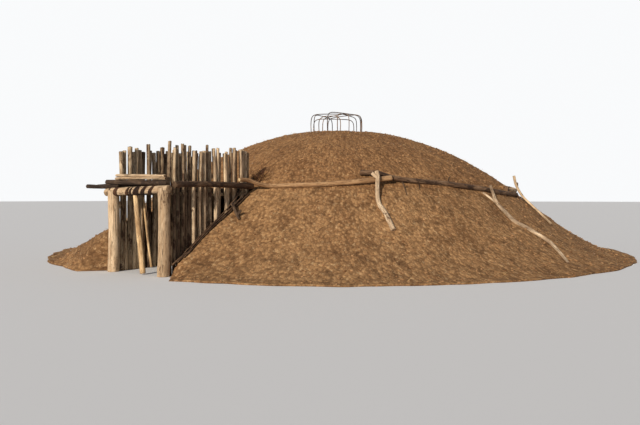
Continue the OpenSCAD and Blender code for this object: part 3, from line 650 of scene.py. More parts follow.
def zipRings(startA, countA, startB, countB, closed):
    # triangles between two rings that hold different numbers of points
    stepsA, stepsB = (countA, countB) if closed else (countA - 1, countB - 1)
    events = np.concatenate([(np.arange(stepsA) + 0.5) / stepsA, (np.arange(stepsB) + 0.5) / stepsB])
    isA = np.concatenate([np.ones(stepsA, bool), np.zeros(stepsB, bool)])[np.argsort(events, kind="stable")]
    a = np.cumsum(isA) - isA
    b = np.cumsum(~isA) - ~isA
    third = np.where(isA, startA + (a + 1) % countA, startB + (b + 1) % countB)
    return np.stack([startA + a % countA, startB + b % countB, third], axis=1)


def passageAngle(r):
    # the earth's edge beside the passage, and where the slanting edge crosses this distance in front of it
    acrossEnd = mound["radius"] * math.sin(mound["flareTurn"]) - mound["passageHalf"]
    aheadEnd = mound["radius"] * math.cos(mound["flareTurn"]) - mound["doorFront"]
    lineTurn = math.atan2(acrossEnd, aheadEnd)
    offset = mound["doorFront"] * math.sin(lineTurn) - mound["passageHalf"] * math.cos(lineTurn)
    flare = lineTurn - math.asin(min(offset / r, 1))
    return max(math.asin(min(mound["passageHalf"] / r, 1)), flare)


def evenSteps(inner, outer, spacing):
    # distances between two radii, evenly spaced along the slope
    fine = np.linspace(inner, outer, 2000)
    run = np.concatenate([[0], np.cumsum(np.hypot(np.diff(fine), np.diff(moundHeight(fine))))])
    return np.interp(np.linspace(0, run[-1], int(run[-1] / spacing) + 1), run, fine)


def earthShell(name, inner, outer, spacing, liningRows, closed):
    # the shaped surface from inner to outer, then the plain rows of its lining back to the start
    rings, counts, parts, reliefs = [], [], [], []
    rows = [(r, float(moundHeight(r)), True) for r in evenSteps(inner, outer, spacing)]
    rows += [(r, z, False) for r, z in liningRows]
    for r, z, shaped in rows:
        first = 0.0 if closed else math.degrees(passageAngle(r))
        pitch = spacing if shaped else 0.16
        count = max(int(math.radians(360 - 2 * first) * r / pitch), 48)
        if not shaped and abs(r - outer) < 1e-6:
            count = counts[-1]
        phi = np.linspace(first, 360 - first, count, endpoint=not closed)
        if shaped:
            points, relief = shapedEarth(phi, np.full(count, r), np.full(count, z))
        else:
            points, relief = polar(phi, np.full(count, r), np.full(count, z)), np.full(count, 0.3)
        if not shaped and abs(r - outer) < 1e-6:  # the rim at the ground follows the ragged edge
            points[:, :2] = parts[-1][:, :2]
        rings.append(sum(counts))
        counts.append(count)
        parts.append(points)
        reliefs.append(relief)
    triangles = [zipRings(rings[k - 1], counts[k - 1], rings[k], counts[k], closed) for k in range(1, len(rows))]
    triangles.append(zipRings(rings[-1], counts[-1], rings[0], counts[0], closed))
    points = np.concatenate(parts)
    if not closed:
        for last in (False, True):
            rim = [start + (count - 1 if last else 0) for start, count in zip(rings, counts)]
            flat = [Vector((math.hypot(*points[i][:2]), points[i][2], 0)) for i in rim]
            wall = np.array([[rim[c] for c in corner] for corner in tessellate_polygon([flat])])
            a, b, c = (points[wall[:, k]] for k in range(3))
            side = np.cross(b - a, c - a)[:, 0] * (1 if last else -1)
            wall[side < 0] = wall[side < 0][:, ::-1]
            triangles.append(wall)
    return meshPiece(name, points, np.empty((0, 4)), np.concatenate(triangles), {"relief": np.concatenate(reliefs)})


eaveRadius = 5.704
bank = earthShell(
    "earth_bank", eaveRadius, mound["radius"], earthLook["bankSpacing"],
    [(mound["radius"], 0.0), (mound["bankFoot"], 0.0), (mound["bankTop"], mound["wallTop"])], False,
)
dress(bank, materials["bankSoil"], "bank_earth", *[f"earth_bank_{i}" for i in range(1, 5)])
roof = earthShell(
    "earth_roof", mound["holeRadius"], eaveRadius, earthLook["roofSpacing"],
    [(mound["bankTop"], mound["wallTop"]), *thatchTop], True,
)
dress(roof, materials["roofSoil"], "roof_earth", *[f"earth_roof_{i}" for i in range(1, 5)])
print("earth ready,", len(bank.data.polygons), "and", len(roof.data.polygons), "faces")


# Clods, small stones and bits of straw on the earth

def buildClodTree():
    number, whole = "NodeSocketFloat", "NodeSocketInt"
    tree, given, result = newGrowth(
        "clodsOnEarth",
        [("Density", number), ("Smallest", number), ("Largest", number), ("Flatness", number), ("Seed", whole),
         ("Material", "NodeSocketMaterial")],
    )
    normal = put(tree, "GeometryNodeInputNormal").outputs[0]
    up = put(tree, "ShaderNodeSeparateXYZ", {0: normal}).outputs[2]
    outside = put(tree, "FunctionNodeCompare", {0: up, 1: 0.15}, data_type="FLOAT", operation="GREATER_THAN")
    spots = put(tree, "GeometryNodeDistributePointsOnFaces", {
        "Mesh": given["Geometry"], "Selection": outside.outputs[0], "Density": given["Density"], "Seed": given["Seed"]})
    ball = put(tree, "GeometryNodeMeshIcoSphere", {"Radius": 1.0, "Subdivisions": 1}).outputs[0]
    place = put(tree, "GeometryNodeInputPosition").outputs[0]
    wobble = put(tree, "ShaderNodeTexNoise", {"Vector": place, "Scale": 1.1, "Detail": 1.0}).outputs[1]
    push = put(tree, "ShaderNodeVectorMath", {0: wobble, 1: (1.3,) * 3, 2: (-0.65,) * 3}, operation="MULTIPLY_ADD")
    lump = put(tree, "GeometryNodeSetPosition", {"Geometry": ball, "Offset": push.outputs[0]}).outputs[0]
    chance = sums(tree, "POWER", randomNumber(tree, 0.0, 1.0, 5), 3.0)
    span = sums(tree, "SUBTRACT", given["Largest"], given["Smallest"])
    size = sums(tree, "MULTIPLY_ADD", chance, span, given["Smallest"])
    sides = randomVector(tree, (0.7, 0.7, 0.6), (1.3, 1.3, 1.0), 6)
    sized = put(tree, "ShaderNodeVectorMath", {0: sides, "Scale": size}, operation="SCALE").outputs[0]
    flat = put(tree, "ShaderNodeCombineXYZ", {0: 1.0, 1: 1.0, 2: given["Flatness"]}).outputs[0]
    scale = put(tree, "ShaderNodeVectorMath", {0: sized, 1: flat}, operation="MULTIPLY").outputs[0]
    turn = randomVector(tree, (-0.5, -0.5, 0.0), (0.5, 0.5, 6.28), 7)
    clods = put(tree, "GeometryNodeInstanceOnPoints", {"Points": spots.outputs[0], "Instance": lump, "Rotation": turn,
                                                       "Scale": scale}).outputs[0]
    toned = put(tree, "GeometryNodeStoreNamedAttribute", {"Geometry": clods, "Name": "tint",
                                                          "Value": randomNumber(tree, 0.0, 1.0, 8)},
                data_type="FLOAT", domain="INSTANCE").outputs[0]
    return endGrowth(tree, toned, given["Material"], result)


def buildStrawTree():
    number = "NodeSocketFloat"
    tree, given, result = newGrowth(
        "strawOnEarth",
        [("Density", number), ("Length", number), ("Thickness", number), ("Seed", "NodeSocketInt"),
         ("Material", "NodeSocketMaterial")],
    )
    normal = put(tree, "GeometryNodeInputNormal").outputs[0]
    up = put(tree, "ShaderNodeSeparateXYZ", {0: normal}).outputs[2]
    outside = put(tree, "FunctionNodeCompare", {0: up, 1: 0.15}, data_type="FLOAT", operation="GREATER_THAN")
    spots = put(tree, "GeometryNodeDistributePointsOnFaces", {
        "Mesh": given["Geometry"], "Selection": outside.outputs[0], "Density": given["Density"], "Seed": given["Seed"]})
    stalk = put(tree, "GeometryNodeMeshCone", {
        "Vertices": 3, "Radius Top": 0.4, "Radius Bottom": 1.0, "Depth": 1.0}).outputs[0]
    wide = sums(tree, "MULTIPLY", given["Thickness"], randomNumber(tree, 0.6, 1.3, 4))
    long = sums(tree, "MULTIPLY", given["Length"], randomNumber(tree, 0.4, 1.3, 5))
    scale = put(tree, "ShaderNodeCombineXYZ", {0: wide, 1: wide, 2: long}).outputs[0]
    turn = randomVector(tree, (0.9, -0.3, 0.0), (1.5, 0.3, 6.28), 6)
    stalks = put(tree, "GeometryNodeInstanceOnPoints", {"Points": spots.outputs[0], "Instance": stalk, "Rotation": turn,
                                                        "Scale": scale}).outputs[0]
    toned = put(tree, "GeometryNodeStoreNamedAttribute", {"Geometry": stalks, "Name": "tint",
                                                          "Value": randomNumber(tree, 0.0, 1.0, 8)},
                data_type="FLOAT", domain="INSTANCE").outputs[0]
    return endGrowth(tree, toned, given["Material"], result)


clodTree, strawTree = buildClodTree(), buildStrawTree()
litter = dict(
    clods=dict(Density=42.0, Smallest=0.008, Largest=0.042, Flatness=0.8),  # per square metre, radii in metres
    stones=dict(Density=0.9, Smallest=0.010, Largest=0.032, Flatness=0.7),
    straw=dict(Density=12.0, Length=0.10, Thickness=0.003),
)
for ground, slotName, seed in ((bank, "bank_earth", 11), (roof, "roof_earth", 21)):
    for kind, tree, materialName in (("clods", clodTree, "soilClod"), ("stones", clodTree, "fieldStone"),
                                     ("straw", strawTree, "straw")):
        seed += 1
        values = dict(litter[kind], Seed=seed, Material=materials[materialName])
        name = f"{ground.name}_{kind}"
        grownPiece(grow(tree, ground.data, name, values), name, materials[materialName], slotName)
print("clods, stones and straw ready")


# Logs

# What a log looks like: columns round it, distance between its rings, and shares of its radius
logLooks = {
    "post": dict(sides=30, spacing=0.05, lobes=0.05, lumps=0.025, flutes=0.025, knots=5, cracks=4, crackDepth=0.16,
                 bow=0.010, endRough=0.012),
    "pole": dict(sides=18, spacing=0.085, lobes=0.08, lumps=0.045, flutes=0.02, knots=6, cracks=1, crackDepth=0.18,
                 bow=0.015, endRough=0.012),
    "rail": dict(sides=20, spacing=0.06, lobes=0.08, lumps=0.05, flutes=0.02, knots=6, cracks=2, crackDepth=0.16,
                 bow=0.0, endRough=0.010),
    "branch": dict(sides=12, spacing=0.05, lobes=0.10, lumps=0.07, flutes=0.0, knots=3, cracks=0, crackDepth=0.0,
                   bow=0.0, endRough=0.006),
    "rod": dict(sides=8, spacing=0.06, lobes=0.06, lumps=0.08, flutes=0.0, knots=2, cracks=0, crackDepth=0.0,
                bow=0.0, endRough=0.002),
    "inner": dict(sides=14, spacing=0.35, lobes=0.05, lumps=0.03, flutes=0.0, knots=0, cracks=0, crackDepth=0.0,
                  bow=0.006, endRough=0.004),
}


def newBundle(seed):
    return dict(random=np.random.RandomState(seed), points=[], quads=[], triangles=[], grain=[], tint=[], endGrain=[],
                count=0)


def evenPath(points, spacing):
    # a smooth line through the points, as points at even distances
    points = np.array(points, float)
    if len(points) > 2:
        padded = np.vstack([2 * points[0] - points[1], points, 2 * points[-1] - points[-2]])
        share = np.linspace(0, 1, 12, endpoint=False)[:, None]
        fine = []
        for a, b, c, d in zip(padded, padded[1:], padded[2:], padded[3:]):
            curve = 2 * b + (c - a) * share + (2 * a - 5 * b + 4 * c - d) * share ** 2
            fine.append((curve + (3 * b - a - 3 * c + d) * share ** 3) / 2)
        points = np.vstack(fine + [points[-1:]])
    run = np.concatenate([[0], np.cumsum(np.linalg.norm(np.diff(points, axis=0), axis=1))])
    steps = np.linspace(0, run[-1], max(int(run[-1] / spacing) + 1, 3))
    return np.stack([np.interp(steps, run, points[:, k]) for k in range(3)], axis=1), steps


def carriedFrames(path):
    # two directions across the path that don't turn round it
    ahead = np.gradient(path, axis=0)
    ahead /= np.linalg.norm(ahead, axis=1, keepdims=True)
    first = np.cross(ahead[0], (0, 0, 1) if abs(ahead[0][2]) < 0.8 else (1, 0, 0))
    across = [first / np.linalg.norm(first)]
    for way in ahead[1:]:
        side = across[-1] - way * np.dot(across[-1], way)
        across.append(side / np.linalg.norm(side))
    across = np.array(across)
    return ahead, across, np.cross(ahead, across)


def addLog(bundle, points, startRadius, endRadius, look, swell=0.0, tint=None):
    rng = bundle["random"]
    path, along = evenPath(points, look["spacing"])
    length = along[-1]
    share = along / length
    ahead, across, over = carriedFrames(path)
    bend = look["bow"] * min(length, 2.5) * rng.uniform(-1, 1, 2)
    path = path + np.sin(np.pi * share)[:, None] * (bend[0] * across + bend[1] * over)
    offset = rng.uniform(-40, 40, 3)
    # columns of points, with three more at each crack
    angles = list(np.linspace(0, 2 * np.pi, look["sides"], endpoint=False))
    kinds = [-1] * len(angles)
    crackAngles = rng.permutation(look["sides"])[: look["cracks"]] + rng.uniform(0.35, 0.65, look["cracks"])
    for k, turn in enumerate(crackAngles * 2 * np.pi / look["sides"]):
        angles += [turn - 0.07, turn, turn + 0.07]
        kinds += [-1, k, -1]
    order = np.argsort(angles)
    angles, kinds = np.array(angles)[order], np.array(kinds)[order]
    base = startRadius + (endRadius - startRadius) * share + swell * np.sin(np.pi * share)
    turnPlace = np.stack([along * 1.7, 0 * along, 0 * along], 1) + offset
    twist = rng.uniform(-0.25, 0.25) * along + 0.12 * softNoise(turnPlace)
    turned = angles[None, :] + twist[:, None]
    cosine, sine = np.cos(turned), np.sin(turned)
    alongGrid = np.broadcast_to(along[:, None], turned.shape)

    def roundNoise(around, lengthwise, shift):
        spots = np.stack([cosine * around, sine * around, alongGrid * lengthwise], axis=-1).reshape(-1, 3)
        return softNoise(spots + offset + shift).reshape(turned.shape)

    shape = 1 + look["lobes"] * roundNoise(0.9, 0.9, 0) + look["lumps"] * roundNoise(1.6, 5.0, 9)
    if look["flutes"]:
        shape += look["flutes"] * roundNoise(4.0, 1.2, 17)
    radius = base[:, None] * shape
    for k in range(look["knots"]):
        knotAt, knotTurn = rng.uniform(0.05, 0.95) * length, rng.uniform(0, 2 * np.pi)
        size = base.mean() * rng.uniform(0.35, 0.7)
        away = np.abs((turned - knotTurn + np.pi) % (2 * np.pi) - np.pi) * base[:, None]
        radius += rng.uniform(0.10, 0.26) * base.mean() * np.exp(-((alongGrid - knotAt) ** 2 + away ** 2) / size ** 2)
    for k in range(look["cracks"]):
        middle, reach = rng.uniform(0.1, 0.9) * length, rng.uniform(0.25, 0.6) * length
        depth = look["crackDepth"] * rng.uniform(0.6, 1.0) * easeBetween(reach, reach * 0.6, np.abs(along - middle))
        radius[:, kinds == k] -= (base * depth)[:, None]
    # rings: the rough start face, the body, the rough end face
    caps = [(0.0, 0.30), (0.45, 0.35), (0.90, 0.2)]
    rough = look["endRough"]
    rings, grains, ends = [], [], []
    for atEnd in (False, True):
        k = -1 if atEnd else 0
        way = ahead[k] * (1 if atEnd else -1)
        capRings = []
        for inset, rise in caps:
            reachOut = inset * radius[k] if inset else np.zeros(len(angles))
            spot = path[k] + reachOut[:, None] * (cosine[k][:, None] * across[k] + sine[k][:, None] * over[k])
            uneven = softNoise(spot * 30 + offset)[:, None] * rough * (1 if inset else 0.4)
            capRings.append((spot + way * (rise * rough + uneven),
                             np.stack([reachOut * cosine[k], reachOut * sine[k], 0 * reachOut + along[k]], 1)))
        if atEnd:
            around = cosine[..., None] * across[:, None] + sine[..., None] * over[:, None]
            body = path[:, None] + radius[..., None] * around
            body[0] += ahead[0] * rough * 0.6
            body[-1] -= ahead[-1] * rough * 0.6
            rings += list(body)
            grains += list(np.stack([radius * cosine, radius * sine, alongGrid], axis=-1))
            ends += [0.0] * len(body)
            capRings = capRings[::-1]
        rings += [ring for ring, grain in capRings]
        grains += [grain for ring, grain in capRings]
        ends += [1.0] * len(capRings)
    rings, grains = np.array(rings), np.array(grains)
    count, columns = rings.shape[:2]
    centre0, centre1 = rings[0].mean(axis=0), rings[-1].mean(axis=0)
    inner = rings[1:-1].reshape(-1, 3)
    start = bundle["count"]
    k = np.arange(columns)
    n = (k + 1) % columns
    rows = np.arange(count - 3)[:, None] * columns + start
    quads = np.stack([rows + k, rows + n, rows + columns + n, rows + columns + k], axis=-1).reshape(-1, 4)
    first, last = start + len(inner), start + len(inner) + 1
    lastRow = start + (count - 3) * columns
    fans = np.concatenate([np.stack([0 * k + first, start + n, start + k], 1),
                           np.stack([0 * k + last, lastRow + k, lastRow + n], 1)])
    bundle["points"].append(np.vstack([inner, centre0, centre1]))
    grain = np.vstack([grains[1:-1].reshape(-1, 3), grains[0].mean(axis=0), grains[-1].mean(axis=0)])
    bundle["grain"].append(grain + (0, 0, offset[2]))
    bundle["endGrain"].append(np.concatenate([np.repeat(ends[1:-1], columns), [1.0, 1.0]]))
    shade = rng.uniform(0, 1)
    bundle["tint"].append(np.full(len(inner) + 2, shade if tint is None else tint))
    bundle["quads"].append(quads)
    bundle["triangles"].append(fans)
    bundle["count"] += len(inner) + 2


def finishBundle(bundle, name, materialName, slotName, *replaced):
    attributes = {key: np.concatenate(bundle[key]) for key in ("grain", "tint", "endGrain")}
    points = np.concatenate(bundle["points"])
    points[:, 2] = np.maximum(points[:, 2], 0)  # feet are level with the ground
    piece = meshPiece(name, points, np.concatenate(bundle["quads"]), np.concatenate(bundle["triangles"]), attributes)
    piece.data.set_sharp_from_angle(angle=math.radians(48))
    return dress(piece, materials[materialName], slotName, *replaced)


def cadLogs(node):
    # the two end centres and radii of each straight log in a CAD node
    mesh = nodes[node].data
    spots = np.empty(len(mesh.vertices) * 3)
    mesh.vertices.foreach_get("co", spots)
    spots, index = np.unique(np.round(spots.reshape(-1, 3), 5), axis=0, return_inverse=True)
    mesh.calc_loop_triangles()
    corners = np.empty(len(mesh.loop_triangles) * 3, np.int32)
    mesh.loop_triangles.foreach_get("vertices", corners)
    corners = index.ravel()[corners].reshape(-1, 3)
    label = np.arange(len(spots))
    while True:
        lowest = label[corners].min(axis=1)
        fresh = label.copy()
        for k in range(3):
            np.minimum.at(fresh, corners[:, k], lowest)
        if (fresh == label).all():
            break
        label = fresh
    logs = []
    for number in np.unique(label):
        cloud = spots[label == number]
        middle = cloud.mean(axis=0)
        axis = np.linalg.svd(cloud - middle, full_matrices=False)[2][0]
        axis = axis * np.sign(axis[np.argmax(np.abs(axis))])
        run = (cloud - middle) @ axis
        ends = [cloud[run < run.min() + 0.002], cloud[run > run.max() - 0.002]]
        centres = [end.mean(axis=0) for end in ends]
        radii = [np.linalg.norm(end - centre, axis=1).mean() for end, centre in zip(ends, centres)]
        logs.append((centres[0], centres[1], radii[0], radii[1]))
    return sorted(logs, key=lambda log: tuple(np.round(log[0] + log[1], 3)))


def straightLogs(node, look, materialName, slotName, seed, name, thicker=1.0, tint=None):
    bundle = newBundle(seed)
    for start, end, startRadius, endRadius in cadLogs(node):
        addLog(bundle, [start, end], startRadius * thicker, endRadius * thicker, logLooks[look], tint=tint)
    return finishBundle(bundle, name, materialName, slotName, node)


# The poles of the passage walls: the lit ones get painted light from foot to top, where the sun falls on the
# poles that stand out of the row; the others carry painted shade below the long log, deepest on the first poles behind
# the door post, and a top tint above it. Poles are counted from the doorway.
palisade = dict(
    right=dict(paleAndLit=(6, 8, 9, 12, 13, 15, 16, 18, 20, 22), foot=(0.12, 0.62), postShadeFoot=0.12,
               thickness=(1.0, 0.86)),
    left=dict(paleAndLit=(1, 3, 5, 9, 13), foot=(0.0, 0.30), postShadeFoot=0.50, thickness=(1.20, 1.27)),
    # litTint is painted light; the foot tints below the long log are painted shade, and shadeEnd gives the heights
    # where that painted shade gives way to the top tint
    litTint=(0.86, 1.0), topTint=(0.12, 0.74), shadedFrontPoles=6, tintSeed=100,
    shadeEnd=(1.85, 2.15),  # heights between which a pole turns pale
)


def passagePoles(node, look, seed, name):
    bundle = newBundle(seed)
    choice = np.random.RandomState(seed + palisade["tintSeed"])
    logs = sorted(cadLogs(node), key=lambda log: log[0][1])
    for k, (start, end, startRadius, endRadius) in enumerate(logs):
        paleAndLit = k in look["paleAndLit"]
        thicker = look["thickness"][0 if paleAndLit else 1]
        addLog(bundle, [start, end], startRadius * thicker, endRadius * thicker, logLooks["pole"])
        foot = choice.uniform(*look["foot"]) if k >= palisade["shadedFrontPoles"] else look["postShadeFoot"]
        top = choice.uniform(*palisade["topTint"])
        if paleAndLit:
            foot = top = choice.uniform(*palisade["litTint"])
        # painted shade below the long log, fading into the top tint above it
        aboveShade = easeBetween(*palisade["shadeEnd"], bundle["points"][-1][:, 2])
        bundle["tint"][-1] = foot + (top - foot) * aboveShade
    return finishBundle(bundle, name, "greyWood", "grey_weathered_wood", node)


passagePoles("passage_wall_right", palisade["right"], 31, "right_wall_poles")
passagePoles("passage_wall_left", palisade["left"], 32, "left_wall_poles")


# Straight timber: node, look, material, slot, seed and name of its finished piece, and for some
# how much thicker it is than the plain log and its tint
straightTimber = [
    ("passage_ledgers", "pole", "greyWood", "grey_weathered_wood", 33, "ledger_poles"),
    ("passage_roof_poles", "pole", "darkWood", "dark_weathered_wood", 34, "roof_poles"),
    ("lintel", "post", "paleWood", "pale_weathered_wood", 35, "lintel_log", 1.0, 0.60),
    ("front_log_dark", "rail", "darkWood", "dark_weathered_wood", 36, "dark_front_log"),
    ("front_poles", "pole", "darkWood", "dark_weathered_wood", 38, "long_front_poles"),
    ("leaning_poles", "pole", "askewWood", "pale_weathered_wood", 39, "askew_poles", 1.12, 0.95),
    ("outer_posts", "inner", "innerWood", "grey_weathered_wood", 41, "ring_posts"),
    ("outer_stringers", "inner", "innerWood", "grey_weathered_wood", 42, "ring_stringers"),
    ("rafters_long", "inner", "innerWood", "grey_weathered_wood", 43, "long_rafters"),
    ("rafters_short", "inner", "innerWood", "grey_weathered_wood", 44, "short_rafters"),
    ("smokehole_crib", "inner", "darkWood", "dark_weathered_wood", 45, "crib_logs"),
]
for timber in straightTimber:
    straightLogs(*timber)
print("straight timber ready")

# The log on top is split along: two billets, deeper than high, with a dark wedge between them
splitLog = dict(billet=0.034, apart=0.033, depth=1.75, rows=[(1, 0.015, -0.035, 0.85), (-1, 0.0, 0.0, 0.60)])


def splitFrontLog():
    start, end, startRadius, endRadius = cadLogs("front_log_pale")[0]
    bundle = newBundle(37)
    for way, trimStart, trimEnd, tint in splitLog["rows"]:
        first = start + np.array((trimStart, 0, way * splitLog["apart"] * 1.1))
        last = end + np.array((trimEnd, 0, way * splitLog["apart"] * 0.85))
        addLog(bundle, [first, last], splitLog["billet"], splitLog["billet"] * 0.95, logLooks["post"], tint=tint)
    for points in bundle["points"]:
        points[:, 1] = start[1] + (points[:, 1] - start[1]) * splitLog["depth"]
    return finishBundle(bundle, "split_front_log", "splitWood", "pale_weathered_wood", "front_log_pale")


splitFrontLog()


def doorPost(node, seed, tint):
    low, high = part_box(node)
    radius = (high.x - low.x) / 2
    x, y = (low.x + high.x) / 2, (low.y + high.y) / 2
    bundle = newBundle(seed)
    addLog(bundle, [(x, y, 0.0), (x, y, high.z)], radius, radius * 0.97, logLooks["post"], tint=tint)
    return finishBundle(bundle, node + "_log", "paleWood", "pale_weathered_wood", node)


doorPost("door_post_left", 51, 0.83)
doorPost("door_post_right", 52, 0.42)


def bentTimber(node, name, paths, look, materialName, slotName, seed, tint=None):
    # paths: the points, the two radii and the swelling of each log
    bundle = newBundle(seed)
    for points, startRadius, endRadius, swell in paths:
        size = logLooks[look] if max(startRadius, endRadius) > 0.034 or look == "rod" else logLooks["branch"]
        addLog(bundle, points, startRadius, endRadius, size, swell, tint)
    return finishBundle(bundle, name, materialName, slotName, node)


# The wood and the slot of each ring log
ringWoods = [("railWood", "pale_weathered_wood"), ("brownWood", "grey_weathered_wood")]
ringWoods += [("greyWood", "grey_weathered_wood")] * 5
for i, (rows, radii, (wood, slotName)) in enumerate(zip(ringPaths, ringRadii, ringWoods), 1):
    paths = [(onMound(rows), *radii, 0.0)]
    bentTimber(f"ring_rail_{i}", f"ring_log_{i}", paths, "rail", wood, slotName, 60 + i)

# The long logs along the outside of the passage walls
railX = 0.870 + 0.052 + 0.050 + 0.005
leftRail = [(-railX - 0.060, -8.34, 2.000), (-railX - 0.055, -7.60, 2.005),
            (-railX - 0.060, -6.70, 2.010), (-railX - 0.065, -5.78, 2.020)]
rightRail = [(railX + 0.078, -8.39, 2.050), (railX + 0.078, -7.90, 2.068), (railX + 0.083, -7.30, 2.078),
             (railX + 0.078, -6.70, 2.072), (railX + 0.078, -6.20, 2.062), (railX + 0.083, -5.76, 2.052)]
bentTimber("passage_rail_left", "left_passage_log", [(leftRail, 0.048, 0.056, 0)], "rail", "darkWood",
           "dark_weathered_wood", 71)
bentTimber("passage_rail_right", "right_passage_log", [(rightRail, 0.070, 0.076, 0)], "rail", "brownWood",
           "dark_weathered_wood", 72)


def forkedProp(rows, arm, footRadius, topRadius, swell=0.0):
    return [(onMound(rows), footRadius, topRadius, swell),
            (onMound(arm), topRadius - 0.004, topRadius - 0.012, 0.0)]


# Forked sticks that stand or lie against the rails: rows of angle, distance and lift
props = {
    "prop_front": dict(
        paths=forkedProp(
            [(43.3, 7.01, 0.02), (42.7, 6.56, 0.06), (41.8, 6.25, 0.07), (42.1, 5.96, 0.22), (42.5, 5.85, 0.39),
             (42.2, 5.82, 0.525)],
            [(42.5, 5.85, 0.37), (41.5, 5.84, 0.44), (41, 5.835, 0.48)], 0.060, 0.054),
        wood="propWood", slot="pale_weathered_wood", tint=0.97),
    "prop_right_long": dict(
        paths=forkedProp(
            [(73.4, 8.42, 0.02), (75.9, 8.02, 0.04), (77.8, 7.60, 0.05), (76.6, 7.135, 0.05), (74.7, 6.87, 0.05),
             (75, 6.59, 0.05), (75.6, 6.24, 0.06), (77.6, 5.99, 0.13), (76.8, 5.96, 0.30)],
            [(75.5, 6.27, 0.05), (75, 6.03, 0.045), (74.5, 5.89, 0.045)], 0.031, 0.036, 0.019),
        wood="propWood", slot="pale_weathered_wood", tint=0.95),
    "prop_right_far": dict(
        paths=forkedProp(
            [(93, 7.0, 0.02), (94.6, 6.74, 0.045), (96, 6.40, 0.08), (95.6, 6.15, 0.14), (95.2, 5.97, 0.32),
             (95, 5.90, 0.56)],
            [(95.3, 5.985, 0.30), (96.8, 5.96, 0.40)], 0.028, 0.038),
        wood="greyWood", slot="grey_weathered_wood"),
    "prop_passage": dict(
        paths=forkedProp([(12, 6.795, 0.095), (11, 6.73, 0.185), (9.5, 6.64, 0.35)],
                         [(11.3, 6.745, 0.15), (11.9, 6.69, 0.23)], 0.030, 0.042),
        wood="darkWood", slot="dark_weathered_wood"),
    "props_back": dict(
        paths=[log for phi in range(148, 324, 25) for log in forkedProp(
            [(phi - 1, 6.98, 0.02), (phi + 0.6, 6.52, 0.06), (phi - 0.6, 6.15, 0.08), (phi, 5.89, 0.24),
             (phi + 0.5, 5.83, 0.48)],
            [(phi, 5.88, 0.26), (phi - 1.5, 5.85, 0.42)], 0.060, 0.054)],
        wood="propWood", slot="pale_weathered_wood"),
}
for seed, (node, prop) in enumerate(props.items(), 75):
    bentTimber(node, node + "_sticks", prop["paths"], "rail", prop["wood"], prop["slot"], seed, prop.get("tint"))

# Thin poles on the ridges beside the passage: distance from the middle line, radius, y of the two ends,
# how high it lies above the ridge, and how much higher its inner end
slopePoles = [
    (1.014, 0.022, -8.42, -6.12, 0.024, 0.210),
    (1.060, 0.022, -8.30, -6.00, 0.024, 0.090),
    (1.102, 0.020, -8.15, -5.90, 0.024, 0.0),
    (1.036, 0.018, -8.05, -6.20, 0.064, 0.150),
    (1.080, 0.018, -7.90, -6.05, 0.060, 0.060),
]
slopeSplit = [(-0.55, 0.86, 0.0), (0.60, 0.66, 0.010)]  # each is two thin sticks: aside, thickness, rise
for side, word in ((1, "right"), (-1, "left")):
    paths = []
    for x, radius, start, end, lift, endRise in slopePoles:
        y = np.linspace(start, end, 9)
        rise = lift + endRise * np.maximum(np.linspace(-1, 1, 9), 0) ** 2
        ground = moundHeight(np.hypot(x, y)) + np.interp(y, *zip(*ridgeRows))
        for aside, thickness, above in slopeSplit:
            points = np.stack([np.full(9, side * (x + aside * radius)), y, ground + rise + above], axis=1)
            paths.append((points, radius * thickness, radius * thickness * 0.7, 0.0))
    bentTimber(f"slope_poles_{word}", f"{word}_slope_sticks", paths, "branch", "brownWood", "dark_weathered_wood",
               82 + side)

# Twigs that still grow out of the second rail: rows on the mound, and two radii
railTwigs = [
    ([(49.94, 5.54, 0.07), (49.7, 5.80, 0.06), (49.43, 6.04, 0.02)], 0.017, 0.009),
    ([(49.75, 5.76, 0.06), (50.4, 5.74, 0.07), (51.03, 5.70, 0.05)], 0.011, 0.006),
    ([(54.6, 5.58, 0.07), (54.2, 5.70, 0.06), (53.9, 5.80, 0.02)], 0.013, 0.008),
    ([(64.0, 5.62, 0.10), (64.6, 5.58, 0.17), (65.1, 5.57, 0.22)], 0.018, 0.011),
    ([(88.0, 5.95, 0.10), (88.6, 5.92, 0.18), (89.2, 5.93, 0.26)], 0.020, 0.012),
]
twigBundle = newBundle(95)
for rows, startRadius, endRadius in railTwigs:
    addLog(twigBundle, onMound(rows), startRadius, endRadius, logLooks["rod"])
finishBundle(twigBundle, "rail_twigs", "darkWood", "grey_weathered_wood")

# Brush stuffed between the end of the right wall and the mound
brush = dict(place=(0.92, -5.30), scatter=(0.10, 0.10), twigs=90, length=(0.12, 0.34), thickness=(0.004, 0.009))


def brushTuft():
    bundle = newBundle(96)
    rng = bundle["random"]
    for k in range(brush["twigs"]):
        x, y = np.array(brush["place"]) + rng.normal(0, 1, 2) * brush["scatter"]
        foot = np.array((x, y, float(moundHeight(math.hypot(x, y))) - 0.01))
        way = np.array((rng.normal(0.15, 0.5), rng.normal(-0.25, 0.5), rng.uniform(0.10, 0.75)))
        way *= rng.uniform(*brush["length"]) / np.linalg.norm(way)
        bend = rng.normal(0, 0.05, 3)
        radius = rng.uniform(*brush["thickness"])
        addLog(bundle, [foot, foot + way * 0.5 + bend, foot + way], radius, radius * 0.5, logLooks["rod"])
    return finishBundle(bundle, "brush_tuft", "brushTwig", "dark_weathered_wood")


brushTuft()


# Dark bands wound round the lintel

